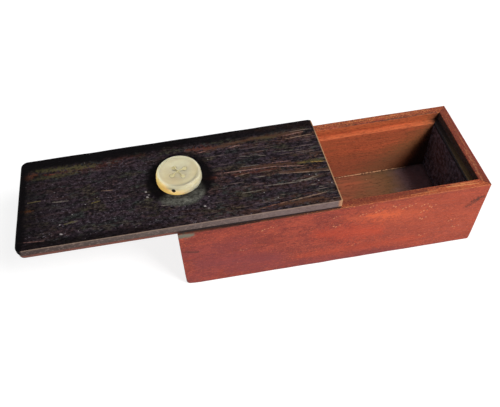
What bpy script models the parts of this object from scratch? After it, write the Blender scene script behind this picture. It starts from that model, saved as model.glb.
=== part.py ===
"""Wooden stud box: a mitred mahogany carcass with a dark sliding lid and a pearl button for a pull."""

import math

import bmesh
import bpy
from mathutils import Vector

# Carcass, metres. The origin is the centre of the box's underside, +X is the closed end, +Z is up.
BOX_LENGTH = 0.0825
BOX_WIDTH = 0.032
BOX_HEIGHT = 0.0233
RIM_THICKNESS = 0.0025
LEDGE_WIDTH = 0.0016
REBATE_DEPTH = 0.0025
BOTTOM_THICKNESS = 0.0043
CARCASS_ARRIS = 0.0004

# Lid. It is drawn out towards -X, over the end board that is cut down between the rims.
LID_DRAWN_OUT = 0.0405
LID_SIDE_INSET = 0.0003
LID_PLATE_THICKNESS = 0.0024
LID_CORNER_RADIUS = 0.0012
LID_TOP_ARRIS = 0.0007
LID_LINING_THICKNESS = 0.0004
LINING_END_INSET = 0.001

# Pearl button, glued on the lid a little off its centre and turned against the grain.
BUTTON_DIAMETER = 0.0122
BUTTON_BACK_DIAMETER = 0.0104
BUTTON_THICKNESS = 0.0027
BUTTON_RIM_WIDTH = 0.001
BUTTON_RIM_RISE = 0.0005
BUTTON_DISH_SAG = 0.0005
BUTTON_HOLE_DIAMETER = 0.0015
BUTTON_HOLE_PITCH = 0.0028
BUTTON_SHIFT_X = 0.0017
BUTTON_SHIFT_Y = 0.0006
BUTTON_TURN = math.radians(-16.0)

# Thread of the two crossed stitches.
THREAD_DIAMETER = 0.0004
THREAD_BEND_RADIUS = 0.0004
THREAD_CLEARANCE = 0.0001

# Clearances: between glued faces and between the lid and the box. The overrun takes a cut past a face,
# and the merge distance closes a turned shape on its axis.
GLUE_GAP = 0.0002
RUNNING_CLEARANCE = 0.0002
CUT_OVERRUN = 0.002
MERGE_DISTANCE = 0.000001

# Facets.
ARRIS_SEGMENTS = 3
CORNER_SEGMENTS = 5
BUTTON_STEPS = 48
CROWN_STEPS = 6
SIDE_STEPS = 4
DISH_STEPS = 5
HOLE_SIDES = 16
BEND_STEPS = 4
SPAN_STEPS = 6
THREAD_RESOLUTION = 2

# Sizes that follow from the ones above.
WALL_THICKNESS = RIM_THICKNESS + LEDGE_WIDTH
LEDGE_HEIGHT = BOX_HEIGHT - REBATE_DEPTH
REBATE_WIDTH = BOX_WIDTH - 2 * RIM_THICKNESS
LID_LENGTH = BOX_LENGTH
LID_WIDTH = BOX_WIDTH - 2 * LID_SIDE_INSET
LINING_BASE = BOX_HEIGHT + RUNNING_CLEARANCE
PLATE_BASE = LINING_BASE + LID_LINING_THICKNESS + GLUE_GAP
PLATE_TOP = PLATE_BASE + LID_PLATE_THICKNESS
TONGUE_BASE = LEDGE_HEIGHT + RUNNING_CLEARANCE
BUTTON_RADIUS = BUTTON_DIAMETER / 2
BUTTON_BACK_RADIUS = BUTTON_BACK_DIAMETER / 2
DISH_RADIUS = BUTTON_RADIUS - BUTTON_RIM_WIDTH
DISH_EDGE_HEIGHT = BUTTON_THICKNESS - BUTTON_RIM_RISE
THREAD_RADIUS = THREAD_DIAMETER / 2
HOLE_DISTANCE = BUTTON_HOLE_PITCH / math.sqrt(2)

# Colours (linear red, green, blue), roughness.
MAHOGANY = ((0.30, 0.075, 0.036), 0.45)
MAHOGANY_END = ((0.24, 0.066, 0.036), 0.50)
MAHOGANY_FLOOR = ((0.20, 0.062, 0.034), 0.55)
DARK_WOOD = ((0.018, 0.014, 0.016), 0.32)
PEARL = ((0.62, 0.55, 0.36), 0.22)
THREAD = ((0.60, 0.55, 0.33), 0.80)

QUARTER_TURN = math.pi / 2
HALF_TURN = math.pi


def clear_scene():
    """Remove every object that the file starts with."""
    for obj in list(bpy.data.objects):
        bpy.data.objects.remove(obj, do_unlink=True)


def new_collection(name):
    collection = bpy.data.collections.new(name)
    bpy.context.scene.collection.children.link(collection)
    return collection


def new_material(name, finish):
    """A Principled material with the given colour and roughness."""
    colour, roughness = finish
    material = bpy.data.materials.new(name)
    material.use_nodes = True
    shader = material.node_tree.nodes["Principled BSDF"]
    shader.inputs["Base Color"].default_value = (*colour, 1.0)
    shader.inputs["Roughness"].default_value = roughness
    shader.inputs["Metallic"].default_value = 0.0
    material.diffuse_color = (*colour, 1.0)
    return material


def add_object(name, data, collection, material=None, parent=None):
    obj = bpy.data.objects.new(name, data)
    collection.objects.link(obj)
    if material:
        data.materials.append(material)
    if parent:
        obj.parent = parent
    return obj


def mesh_from(name, shape):
    """Turn a bmesh into mesh data and free it."""
    mesh = bpy.data.meshes.new(name)
    shape.normal_update()
    shape.to_mesh(mesh)
    shape.free()
    return mesh


def block(low, high):
    """A bmesh box between two corners."""
    shape = bmesh.new()
    bmesh.ops.create_cube(shape, size=1)
    low, high = Vector(low), Vector(high)
    bmesh.ops.scale(shape, vec=high - low, verts=shape.verts)
    bmesh.ops.translate(shape, vec=(low + high) / 2, verts=shape.verts)
    return shape


def is_upright(edge):
    """Whether an edge runs along Z."""
    run = edge.verts[1].co - edge.verts[0].co
    return abs(run.z) > max(abs(run.x), abs(run.y))


def round_corners(shape, radius):
    """Round the upright edges of a block, as its plan corners."""
    corners = [edge for edge in shape.edges if is_upright(edge)]
    bmesh.ops.bevel(shape, geom=corners, offset=radius, segments=CORNER_SEGMENTS,
                    profile=0.5, affect="EDGES")


def round_top(shape, radius):
    """Round the arris all round the top face of a block."""
    top = max(shape.faces, key=lambda face: face.calc_center_median().z)
    bmesh.ops.bevel(shape, geom=list(top.edges), offset=radius, segments=ARRIS_SEGMENTS,
                    profile=0.5, affect="EDGES")


def mitre_end(shape, point, normal):
    """Cut a board with an upright plane and close the cut."""
    everything = shape.verts[:] + shape.edges[:] + shape.faces[:]
    cut = bmesh.ops.bisect_plane(shape, geom=everything, plane_co=point, plane_no=normal,
                                 clear_outer=True)
    rim = [item for item in cut["geom_cut"] if isinstance(item, bmesh.types.BMEdge)]
    bmesh.ops.edgeloop_fill(shape, edges=rim)
    bmesh.ops.recalc_face_normals(shape, faces=shape.faces)


def add_boolean(obj, cutter, operation):
    modifier = obj.modifiers.new(cutter.name, "BOOLEAN")
    modifier.operation = operation
    modifier.solver = "EXACT"
    modifier.object = cutter


def as_cutter(obj):
    obj.hide_render = True
    obj.display_type = "WIRE"
    return obj


def carcass_envelope(cutters):
    """The glued-up carcass's outer form, with its eased arrises."""
    half_length, half_width = BOX_LENGTH / 2, BOX_WIDTH / 2
    shape = block((-half_length, -half_width, 0), (half_length, half_width, BOX_HEIGHT))
    envelope = add_object("carcass_envelope", mesh_from("carcass_envelope", shape), cutters)
    bevel = envelope.modifiers.new("arris", "BEVEL")
    bevel.width = CARCASS_ARRIS
    bevel.segments = ARRIS_SEGMENTS
    bevel.limit_method = "ANGLE"
    return as_cutter(envelope)


def lid_recess(cutters):
    """The rebate for the lid's tongue, which runs out through the exit end."""
    low = (-BOX_LENGTH / 2 - CUT_OVERRUN, -REBATE_WIDTH / 2, LEDGE_HEIGHT)
    high = (BOX_LENGTH / 2 - RIM_THICKNESS, REBATE_WIDTH / 2, BOX_HEIGHT + CUT_OVERRUN)
    return as_cutter(add_object("lid_recess", mesh_from("lid_recess", block(low, high)), cutters))


def mitred_board(name, length, collection, material):
    """A wall board along X: outer face on y = 0, inner face towards +Y, both ends mitred.

    The raw board is too long, and proud of the outer face, underside and top. The mitres cut it to
    length, and the carcass envelope trims the rest.
    """
    shape = block((-length, -CUT_OVERRUN, -CUT_OVERRUN),
                  (length, WALL_THICKNESS, BOX_HEIGHT + CUT_OVERRUN))
    setback = GLUE_GAP / math.sqrt(2)
    for side in (-1, 1):
        mitre_end(shape, Vector((side * (length / 2 - setback), 0, 0)), Vector((side, 1, 0)))
    return add_object(name, mesh_from(name, shape), collection, material)


def wall_boards(parts, cutters, finish, end_finish):
    """The four walls: mitred, trimmed to the carcass's outer form and rebated for the lid."""
    envelope = carcass_envelope(cutters)
    recess = lid_recess(cutters)
    half_length, half_width = BOX_LENGTH / 2, BOX_WIDTH / 2
    places = (
        ("front_board", BOX_LENGTH, (0, -half_width), 0, finish),
        ("right_end_board", BOX_WIDTH, (half_length, 0), QUARTER_TURN, end_finish),
        ("back_board", BOX_LENGTH, (0, half_width), HALF_TURN, finish),
        ("left_end_board", BOX_WIDTH, (-half_length, 0), -QUARTER_TURN, end_finish),
    )
    for name, length, place, turn, material in places:
        board = mitred_board(name, length, parts, material)
        board.location = (*place, 0)
        board.rotation_euler.z = turn
        add_boolean(board, envelope, "INTERSECT")
        add_boolean(board, recess, "DIFFERENCE")


def bottom_board(parts, material):
    """The floor, let in between the walls and flush with their undersides."""
    half_length = BOX_LENGTH / 2 - WALL_THICKNESS - GLUE_GAP
    half_width = BOX_WIDTH / 2 - WALL_THICKNESS - GLUE_GAP
    shape = block((-half_length, -half_width, 0), (half_length, half_width, BOTTOM_THICKNESS))
    add_object("bottom_board", mesh_from("bottom_board", shape), parts, material)


def lid_slide(parts):
    """The empty that carries the lid, on the slide's axis at the rim's height."""
    slide = add_object("lid_slide", None, parts)
    slide.location = (-LID_DRAWN_OUT, 0, BOX_HEIGHT)
    slide.empty_display_size = LID_WIDTH / 2
    return slide


def lid_plate(parts, slide, material):
    """The dark top plate, with round plan corners and an eased top arris."""
    half_length, half_width = LID_LENGTH / 2, LID_WIDTH / 2
    shape = block((-half_length, -half_width, PLATE_BASE - BOX_HEIGHT),
                  (half_length, half_width, PLATE_TOP - BOX_HEIGHT))
    round_corners(shape, LID_CORNER_RADIUS)
    round_top(shape, LID_TOP_ARRIS)
    add_object("lid_plate", mesh_from("lid_plate", shape), parts, material, slide)


def tongue_rabbets(cutters, slide):
    """What is planed off the lining's underside along its sides and its inner end."""
    half_length, half_width = LID_LENGTH / 2, LID_WIDTH / 2
    tongue_half_width = REBATE_WIDTH / 2 - RUNNING_CLEARANCE
    tongue_end = half_length - RIM_THICKNESS - RUNNING_CLEARANCE
    low_z = TONGUE_BASE - BOX_HEIGHT - CUT_OVERRUN
    high_z = LINING_BASE - BOX_HEIGHT
    far_x, far_y = half_length + CUT_OVERRUN, half_width + CUT_OVERRUN
    strips = (
        ("front_rabbet", (-far_x, -far_y), (far_x, -tongue_half_width)),
        ("back_rabbet", (-far_x, tongue_half_width), (far_x, far_y)),
        ("end_rabbet", (tongue_end, -far_y), (far_x, far_y)),
    )
    for name, low, high in strips:
        shape = block((*low, low_z), (*high, high_z))
        yield as_cutter(add_object(name, mesh_from(name, shape), cutters, parent=slide))


def lid_lining(parts, cutters, slide, material):
    """The mahogany under the plate: a thin flange, and the tongue that runs in the rebate."""
    half_length, half_width = LID_LENGTH / 2, LID_WIDTH / 2
    shape = block((-half_length + LINING_END_INSET, -half_width, TONGUE_BASE - BOX_HEIGHT),
                  (half_length, half_width, PLATE_BASE - GLUE_GAP - BOX_HEIGHT))
    round_corners(shape, LID_CORNER_RADIUS)
    lining = add_object("lid_lining", mesh_from("lid_lining", shape), parts, material, slide)
    for rabbet in tongue_rabbets(cutters, slide):
        add_boolean(lining, rabbet, "DIFFERENCE")


def dish_height(radius):
    """Height of the button's dished face at a radius, above its back."""
    share = radius / DISH_RADIUS
    return DISH_EDGE_HEIGHT - BUTTON_DISH_SAG * (1 - share * share)


def button_profile():
    """Half section from the dish's centre over the rim and down the side to the back's centre."""
    points = []
    for step in range(DISH_STEPS):
        radius = DISH_RADIUS * step / DISH_STEPS
        points.append((radius, dish_height(radius)))
    crown_radius = BUTTON_RIM_WIDTH / 2
    for step in range(CROWN_STEPS + 1):
        angle = math.pi * (1 - step / CROWN_STEPS)
        points.append((BUTTON_RADIUS - crown_radius + crown_radius * math.cos(angle),
                       DISH_EDGE_HEIGHT + BUTTON_RIM_RISE * math.sin(angle)))
    for step in range(1, SIDE_STEPS + 1):
        angle = QUARTER_TURN * step / SIDE_STEPS
        swell = BUTTON_RADIUS - BUTTON_BACK_RADIUS
        points.append((BUTTON_BACK_RADIUS + swell * math.cos(angle),
                       DISH_EDGE_HEIGHT * (1 - math.sin(angle))))
    points.append((0, 0))
    return points


def profile_mesh(name, points):
    """Mesh data of an open profile in the XZ plane, for a Screw modifier."""
    shape = bmesh.new()
    verts = [shape.verts.new((x, 0, z)) for x, z in points]
    for first, second in zip(verts, verts[1:]):
        shape.edges.new((first, second))
    return mesh_from(name, shape)


def button_holes(cutters, button):
    """Four upright drills on the corners of a square."""
    shape = bmesh.new()
    half_pitch = BUTTON_HOLE_PITCH / 2
    depth = BUTTON_THICKNESS + 2 * CUT_OVERRUN
    for side_x in (-1, 1):
        for side_y in (-1, 1):
            drill = bmesh.ops.create_cone(shape, cap_ends=True, segments=HOLE_SIDES, depth=depth,
                                          radius1=BUTTON_HOLE_DIAMETER / 2,
                                          radius2=BUTTON_HOLE_DIAMETER / 2)
            centre = Vector((side_x * half_pitch, side_y * half_pitch, BUTTON_THICKNESS / 2))
            bmesh.ops.translate(shape, vec=centre, verts=drill["verts"])
    return as_cutter(add_object("button_holes", mesh_from("button_holes", shape), cutters,
                                parent=button))


def pearl_button(parts, cutters, slide, material):
    """The turned pull: a raised rim round a dished face with four holes."""
    mesh = profile_mesh("pearl_button", button_profile())
    button = add_object("pearl_button", mesh, parts, material, slide)
    button.location = (BUTTON_SHIFT_X, BUTTON_SHIFT_Y, PLATE_TOP + GLUE_GAP - BOX_HEIGHT)
    button.rotation_euler.z = BUTTON_TURN
    turn = button.modifiers.new("turned", "SCREW")
    turn.steps = BUTTON_STEPS
    turn.render_steps = BUTTON_STEPS
    turn.use_merge_vertices = True
    turn.merge_threshold = MERGE_DISTANCE
    turn.use_smooth_shade = True
    add_boolean(button, button_holes(cutters, button), "DIFFERENCE")
    return button


def stitch_route(lift):
    """Points of a stitch in the XZ plane: up one hole, across the dish and down the opposite hole."""
    span_height = dish_height(HOLE_DISTANCE) + THREAD_CLEARANCE + THREAD_RADIUS
    reach = HOLE_DISTANCE - THREAD_BEND_RADIUS
    half = [(HOLE_DISTANCE, 0)]
    for step in range(BEND_STEPS):
        angle = QUARTER_TURN * step / BEND_STEPS
        half.append((reach + THREAD_BEND_RADIUS * math.cos(angle),
                     span_height - THREAD_BEND_RADIUS * (1 - math.sin(angle))))
    for step in range(SPAN_STEPS):
        share = 1 - step / SPAN_STEPS
        half.append((reach * share, span_height + lift * (1 - share * share)))
    top = [(0, span_height + lift)]
    return half + top + [(-x, z) for x, z in reversed(half)]


def stitch(name, parts, button, lift, turn, material):
    """One stitch of thread through two opposite holes."""
    route = stitch_route(lift)
    curve = bpy.data.curves.new(name, "CURVE")
    curve.dimensions = "3D"
    spline = curve.splines.new("POLY")
    spline.points.add(len(route) - 1)
    for point, (x, z) in zip(spline.points, route):
        point.co = (x, 0, z, 1)
    curve.bevel_depth = THREAD_RADIUS
    curve.bevel_resolution = THREAD_RESOLUTION
    curve.use_fill_caps = True
    thread = add_object(name, curve, parts, material, button)
    thread.rotation_euler.z = turn


def build():
    clear_scene()
    parts = new_collection("stud_box")
    cutters = new_collection("stud_box_cutters")
    wall_boards(parts, cutters, new_material("mahogany", MAHOGANY),
                new_material("mahogany_end", MAHOGANY_END))
    bottom_board(parts, new_material("mahogany_floor", MAHOGANY_FLOOR))
    slide = lid_slide(parts)
    lid_plate(parts, slide, new_material("dark_wood", DARK_WOOD))
    lid_lining(parts, cutters, slide, new_material("mahogany_lining", MAHOGANY))
    button = pearl_button(parts, cutters, slide, new_material("pearl", PEARL))
    thread = new_material("thread", THREAD)
    eighth_turn = QUARTER_TURN / 2
    stitch("under_stitch", parts, button, 0, -eighth_turn, thread)
    stitch("over_stitch", parts, button, THREAD_DIAMETER + THREAD_CLEARANCE, eighth_turn, thread)
    bpy.context.view_layer.update()


build()
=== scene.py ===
"""Dressed model of a small wooden stud box: a mitred mahogany carcass, a dark sliding lid and a pearl button.

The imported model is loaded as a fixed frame. Every piece is built in metres in that frame, rides on the box
or on the lid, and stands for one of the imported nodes.
"""

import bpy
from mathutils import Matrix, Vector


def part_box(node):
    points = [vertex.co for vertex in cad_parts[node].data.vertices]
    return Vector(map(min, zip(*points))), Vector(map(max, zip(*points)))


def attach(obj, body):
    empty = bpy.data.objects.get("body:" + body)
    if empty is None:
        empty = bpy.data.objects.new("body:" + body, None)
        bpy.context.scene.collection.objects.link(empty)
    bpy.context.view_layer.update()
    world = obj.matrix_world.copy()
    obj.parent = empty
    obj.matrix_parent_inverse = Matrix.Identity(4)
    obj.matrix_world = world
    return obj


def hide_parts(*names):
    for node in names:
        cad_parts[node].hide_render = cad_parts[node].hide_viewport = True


bl_info = {
    "name": "Wooden Stud Box",
    "version": (1, 0, 0),
    "blender": (4, 5, 0),
    "location": "3D View > Sidebar > Stud Box",
    "description": "Builds the walls, floor, lid, button and stage of a small wooden stud box",
    "category": "Object",
}

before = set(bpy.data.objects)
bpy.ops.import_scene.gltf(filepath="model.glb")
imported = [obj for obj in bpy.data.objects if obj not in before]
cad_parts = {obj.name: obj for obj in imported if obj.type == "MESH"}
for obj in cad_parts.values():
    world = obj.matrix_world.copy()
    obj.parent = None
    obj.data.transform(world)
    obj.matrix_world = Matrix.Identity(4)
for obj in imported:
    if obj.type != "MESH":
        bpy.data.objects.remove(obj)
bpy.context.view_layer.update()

import math
from functools import partialmethod

import bmesh
import bpy
from bpy.props import FloatProperty, FloatVectorProperty, IntProperty, PointerProperty
from mathutils import Color, Matrix, Vector, noise

MM = 0.001
FAR = 1.0
WELD = 1e-7


def paint(red, green, blue):
    """Linear colour of an sRGB colour given in steps of 255."""
    levels = (red / 255, green / 255, blue / 255)
    return tuple(c / 12.92 if c <= 0.04045 else ((c + 0.055) / 1.055) ** 2.4 for c in levels)


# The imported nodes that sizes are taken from.
FRONT_LOW, FRONT_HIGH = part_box("front_board")
END_LOW, END_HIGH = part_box("right_end_board")
FLOOR_LOW, FLOOR_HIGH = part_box("bottom_board")
PLATE_LOW, PLATE_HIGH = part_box("lid_plate")
LINING_LOW, LINING_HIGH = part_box("lid_lining")
BUTTON_LOW, BUTTON_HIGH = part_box("pearl_button")
BOX_LENGTH = 2 * END_HIGH.x
BOX_WIDTH = -2 * FRONT_LOW.y
BOX_HEIGHT = FRONT_HIGH.z
BUTTON_CENTRE = (BUTTON_LOW + BUTTON_HIGH) / 2 + Vector((0.2 * MM, -0.25 * MM, 0))
LINING_TOP = (PLATE_LOW.z + LINING_HIGH.z) / 2


# Settings.

def length_setting(name, default, description, precision=5):
    """A length in metres."""
    return FloatProperty(name=name, description=description, default=default, min=0,
                         subtype="DISTANCE", unit="LENGTH", precision=precision)


def angle_setting(name, degrees, description):
    """An angle, its default given in degrees."""
    return FloatProperty(name=name, description=description, default=math.radians(degrees),
                         subtype="ANGLE", unit="ROTATION")


def colour_setting(name, levels, description):
    """A colour, its default given in steps of 255."""
    return FloatVectorProperty(name=name, description=description, default=paint(*levels), size=3,
                               min=0, max=1, subtype="COLOR")


class StudBoxCarcassSettings(bpy.types.PropertyGroup):
    rim: length_setting("Rim", 0.0025, "Thickness of the rim above the rebate")
    wall: length_setting("Wall", 0.0041, "Thickness of a wall below the ledge")
    ledge: length_setting("Ledge height", 0.0208, "Height of the ledge that the lid's tongue runs over")
    joint: length_setting("Joint", 0.00002, "Half the width of a glue line between two boards", 6)
    arris: length_setting("Arris", 0.00016, "Rounding of the rim's outer arris")
    foot: length_setting("Foot arris", 0.0005, "Rounding of the corners that the box stands on")
    worn_corner: length_setting("Worn corner", 0.0011, "Rounding of the front bottom corner of the exit end")
    inner_arris: length_setting(
        "Inner arris", 0.00022, "Rounding of the rim's inner arris and of the ledge's edge")
    unevenness: length_setting("Unevenness", 0.00004, "How far planed faces stray from flat", 6)
    face: colour_setting("Polished face", (154, 65, 50), "Light wood of the outer faces")
    face_dark: colour_setting("Polished face, dark", (112, 44, 38), "Dark streaks of the outer faces")
    rim_wood: colour_setting("Rim", (158, 76, 46), "Light wood of the rims")
    rim_dark: colour_setting("Rim, dark", (88, 38, 28), "Dark streaks of the rims")
    inner: colour_setting("Inside", (192, 90, 58), "Unpolished wood inside the box")
    inner_dark: colour_setting("Inside, dark", (140, 78, 52), "Darker, greyer wood inside the box")
    fresh: colour_setting("Rebate", (196, 102, 62), "Bare wood of the rebate, where the lid rubs it")
    pore: colour_setting("Pores", (70, 26, 20), "Open pores filled with dark polish")
    # Grime for stains and smears; in the floor's corners it is laid as painted shade.
    grime_and_shade: colour_setting("Grime", (46, 34, 30), "Old grime in corners and smears")
    fleck: colour_setting("Flecks", (226, 196, 170), "Pale specks of chipped polish and dust")


class StudBoxLidSettings(bpy.types.PropertyGroup):
    left_corner: length_setting("Left corners", 0.002, "Plan radius of the two corners at the drawn-out end")
    back_corner: length_setting("Back right corner", 0.0012, "Plan radius of the back corner over the box")
    front_corner: length_setting("Front right corner", 0.0003, "Plan radius of the front corner over the box")
    far_roll: length_setting("Rounded edge", 0.0009, "Width of the rounding along the left end and the back")
    near_roll: length_setting("Front edge", 0.0004, "Width of the rounding along the front")
    right_roll: length_setting("Right edge", 0.00025, "Width of the rounding along the right end")
    end_reach: length_setting(
        "End reach", 0.00015, "How much longer the lid is than its plan at the back of its inner end")
    end_slant: length_setting(
        "End slant", 0.0005, "How much further the front corner of the inner end reaches than the back")
    front_overhang: length_setting(
        "Front overhang", 0.0002, "How far the front edge stands out past the packed plate")
    thinning: length_setting("Thinning", 0.0006, "How much thinner the plate is at its drawn-out end")
    tongue_half: length_setting("Tongue half width", 0.0133, "Half the width of the lining's tongue")
    tongue_setback: length_setting("Tongue setback", 0.0027, "From the lid's right end to the tongue's end")
    wood: colour_setting("Dark wood", (33, 26, 31), "Ground colour of the lid")
    # A near-black colour: the lid's blackened edges, partly handling and partly painted shade, the ring round
    # the button and dark patches of the figure.
    near_black: colour_setting("Handled edge", (4, 3, 4), "Blackened, polished edge of the lid")
    band: colour_setting("Bands", (62, 41, 36), "Red-brown bands of the figure")
    plum: colour_setting("Plum haze", (64, 53, 61), "Violet-grey haze between the bands")
    tan: colour_setting("Tan lines", (132, 108, 92), "Thin pale lines of the figure")
    side: colour_setting("Sides", (98, 86, 82), "Dull, dusty sides of the plate")
    smear: colour_setting("Glue smear", (112, 112, 104), "Old glue that squeezed out round the button")


class StudBoxButtonSettings(bpy.types.PropertyGroup):
    back_radius: length_setting("Back radius", 0.0059, "Radius of the button's flat back")
    rim_width: length_setting("Rim width", 0.0014, "Width of the raised rim")
    rim_rise: length_setting("Rim rise", 0.0002, "Height of the rim above the dish's edge")
    dish_sag: length_setting("Dish", 0.0004, "Depth of the dished face")
    hole_radius: length_setting("Hole radius", 0.0007, "Radius of one of the four holes")
    hole_pitch: length_setting("Hole pitch", 0.0028, "Distance between two neighbouring holes")
    turn: angle_setting("Turn", -16, "How far the button is turned on the lid")
    steps: IntProperty(name="Steps", description="Facets round the button", default=144, min=24)
    thread_radius: length_setting("Thread radius", 0.00015, "Half the thickness of the twisted thread")
    pearl: colour_setting("Pearl", (206, 196, 160), "Cream of the shell")
    pearl_warm: colour_setting("Warm pearl", (196, 182, 146), "Browner layers of the shell")
    amber: colour_setting("Amber side", (250, 190, 104), "Orange-brown layer that shows on one side")
    thread: colour_setting("Thread", (192, 182, 140), "Pale yellow thread")


class StudBoxStageSettings(bpy.types.PropertyGroup):
    lens: FloatProperty(
        name="Lens", description="Focal length on a sensor 36 mm wide", default=42.258, min=1)
    azimuth: angle_setting("Azimuth", -4.322, "Camera's turn round the box")
    elevation: angle_setting("Elevation", 51.871, "Camera's angle above the floor")
    roll: angle_setting("Roll", -5.707, "Camera's turn about its own axis")
    distance: length_setting("Distance", 0.177806, "From the camera to the point that it looks at")
    target: FloatVectorProperty(
        name="Target", description="Point on the floor that the camera looks at",
        default=(-0.028753, 0.000819, 0), size=3, subtype="TRANSLATION", unit="LENGTH", precision=5)
    shift: FloatVectorProperty(
        name="Shift", description="Offset of the frame, in shares of its width",
        default=(0.0568, 0.05716), size=2)
    key_power: FloatProperty(
        name="Key light", description="Power of the soft key light", default=31, min=0, unit="POWER")
    key_way: FloatVectorProperty(
        name="Key direction", description="From the box towards the key light",
        default=(0.65, -0.62, 1), size=3, subtype="DIRECTION")
    key_distance: length_setting("Key distance", 1.5, "From the box to the key light")
    key_size: length_setting("Key size", 0.5, "Side of the square key light")
    ambient: FloatProperty(
        name="Ambient", description="Light from all round, as a share of white", default=0.16,
        min=0, max=1)
    floor: colour_setting("Floor", (236, 236, 236), "Pale floor")


# Shapes.

# Distances from an edge at which a face gets points, so that its rounding is smooth.
NEAR_STEPS = [step * MM for step in (0, 0.07, 0.15, 0.25, 0.37, 0.52, 0.7, 0.95, 1.3, 1.8)]
NEAR_SHARE = 0.45
DRIFT_SIZE = 9 * MM
SHARP_ANGLE = 38


def graded(start, end, coarse):
    """Positions from start to end, close together near both ends."""
    length = abs(end - start)
    near = [step for step in NEAR_STEPS if step < length * NEAR_SHARE]
    gap = length - 2 * near[-1]
    count = max(1, round(gap / coarse))
    middle = [near[-1] + gap * step / count for step in range(1, count)]
    offsets = near + middle + [length - step for step in reversed(near)]
    return [start + math.copysign(offset, end - start) for offset in offsets]


def eased(point, low, high, radius):
    """The point moved onto the rounded edge of a box where it lies outside the rounding."""
    core = Vector([min(max(c, lo + radius), hi - radius) for c, lo, hi in zip(point, low, high)])
    out = point - core
    if out.length > radius:
        return core + out * (radius / out.length)
    return point


def varied(place, amount, size):
    """A factor about 1 that changes slowly over the wood."""
    return 1 + amount * noise.noise(Vector(place) / size)


def strayed(place, amount):
    """The point moved a little, as on a hand-planed face, but never below the floor."""
    drift = Vector(place) / DRIFT_SIZE
    apart = (Vector((0, 0, 0)), Vector((7, 0, 0)), Vector((0, 7, 0)))
    moved = place + amount * Vector([noise.noise(drift + offset) for offset in apart])
    moved.z = max(moved.z, min(place.z, 0))
    return moved


def shaded(mesh, sharp):
    """The mesh with smooth faces, and with edges sharper than an angle left sharp."""
    mesh.shade_smooth()
    mesh.set_sharp_from_angle(angle=math.radians(sharp))
    return mesh


def as_mesh(name, shape, sharp=SHARP_ANGLE):
    """Weld a bmesh into mesh data with smooth faces and sharp edges."""
    bmesh.ops.remove_doubles(shape, verts=shape.verts, dist=WELD)
    bmesh.ops.recalc_face_normals(shape, faces=shape.faces)
    mesh = bpy.data.meshes.new(name)
    shape.to_mesh(mesh)
    shape.free()
    return shaded(mesh, sharp)


def bridge(shape, rings):
    """Add faces between following rings of points. A ring may be a single point on an axis."""
    count = max(len(ring) for ring in rings)
    for before, after in zip(rings, rings[1:]):
        for step in range(count):
            following = (step + 1) % count
            corners = [before[step % len(before)], before[following % len(before)],
                       after[following % len(after)], after[step % len(after)]]
            shape.faces.new(list(dict.fromkeys(corners)))


def add_piece(name, mesh, body=None, node=None, material=None):
    """Place a piece in the scene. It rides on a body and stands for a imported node."""
    piece = bpy.data.objects.new(name, mesh)
    bpy.context.scene.collection.objects.link(piece)
    if material:
        mesh.materials.append(material)
    if body:
        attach(piece, body)
        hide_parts(node)
    return piece


def joined(name, mesh, cutters, operation, sharp=SHARP_ANGLE):
    """The mesh after Boolean cuts or unions with other meshes."""
    whole = add_piece(name, mesh)
    others = [add_piece("%s_%d" % (name, index), cutter) for index, cutter in enumerate(cutters)]
    for other in others:
        modifier = whole.modifiers.new(other.name, "BOOLEAN")
        modifier.operation = operation
        modifier.solver = "EXACT"
        modifier.object = other
    bpy.context.view_layer.update()
    evaluated = whole.evaluated_get(bpy.context.evaluated_depsgraph_get())
    result = bpy.data.meshes.new_from_object(evaluated)
    for obj in [whole] + others:
        data = obj.data
        bpy.data.objects.remove(obj)
        bpy.data.meshes.remove(data)
    result.name = name
    return shaded(result, sharp)


def block_mesh(name, low, high, coarse, form):
    """Closed skin of a box with graded points, each passed through form."""
    axes = [graded(lo, hi, coarse) for lo, hi in zip(low, high)]
    last = [len(axis) - 1 for axis in axes]
    shape = bmesh.new()
    found = {}

    def corner(index):
        if index not in found:
            place = Vector([axis[step] for axis, step in zip(axes, index)])
            found[index] = shape.verts.new(form(place))
        return found[index]

    for fixed in range(3):
        first, second = [axis for axis in range(3) if axis != fixed]
        for end in (0, last[fixed]):
            for i in range(last[first]):
                for j in range(last[second]):
                    ring = []
                    for di, dj in ((0, 0), (1, 0), (1, 1), (0, 1)):
                        index = {fixed: end, first: i + di, second: j + dj}
                        ring.append(corner((index[0], index[1], index[2])))
                    shape.faces.new(ring)
    return as_mesh(name, shape)


# Carcass.

SECTION_STEP = 1.6 * MM
STATION_STEP = 2.2 * MM
BOARD_STEP = 2 * MM
FOOT_REACH = 4 * MM
CORNER_REACH = 4.5 * MM
BOARD_ARRIS = 0.12 * MM


def wall_section(carcass, top):
    """Points (depth, height) round a wall: up the outer face, over the rim and ledge, down the inner face."""
    full = [(0, 0), (0, BOX_HEIGHT), (carcass.rim, BOX_HEIGHT), (carcass.rim, carcass.ledge),
            (carcass.wall, carcass.ledge), (carcass.wall, 0)]
    actual = [(depth, min(height, top)) for depth, height in full]
    points = []
    for index in range(len(full)):
        after = (index + 1) % len(full)
        length = math.dist(full[index], full[after])
        shares = [step / length for step in graded(0, length, SECTION_STEP)[:-1]]
        (depth0, height0), (depth1, height1) = actual[index], actual[after]
        points += [(depth0 + (depth1 - depth0) * share, height0 + (height1 - height0) * share)
                   for share in shares]
    return points


def wall_stations(half_length, exit_share):
    """Stations (share of the half length, whether the rim stands there) from one mitre to the other."""
    shares = [place / half_length for place in graded(-half_length, half_length, STATION_STEP)]
    if exit_share is None:
        return [(share, True) for share in shares]
    inside = [share for share in shares if abs(share) < exit_share]
    outside = [share for share in shares if abs(share) > exit_share]
    return ([(share, True) for share in outside if share < 0] + [(-exit_share, True), (-exit_share, False)]
            + [(share, False) for share in inside] + [(exit_share, False), (exit_share, True)]
            + [(share, True) for share in outside if share > 0])


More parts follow.
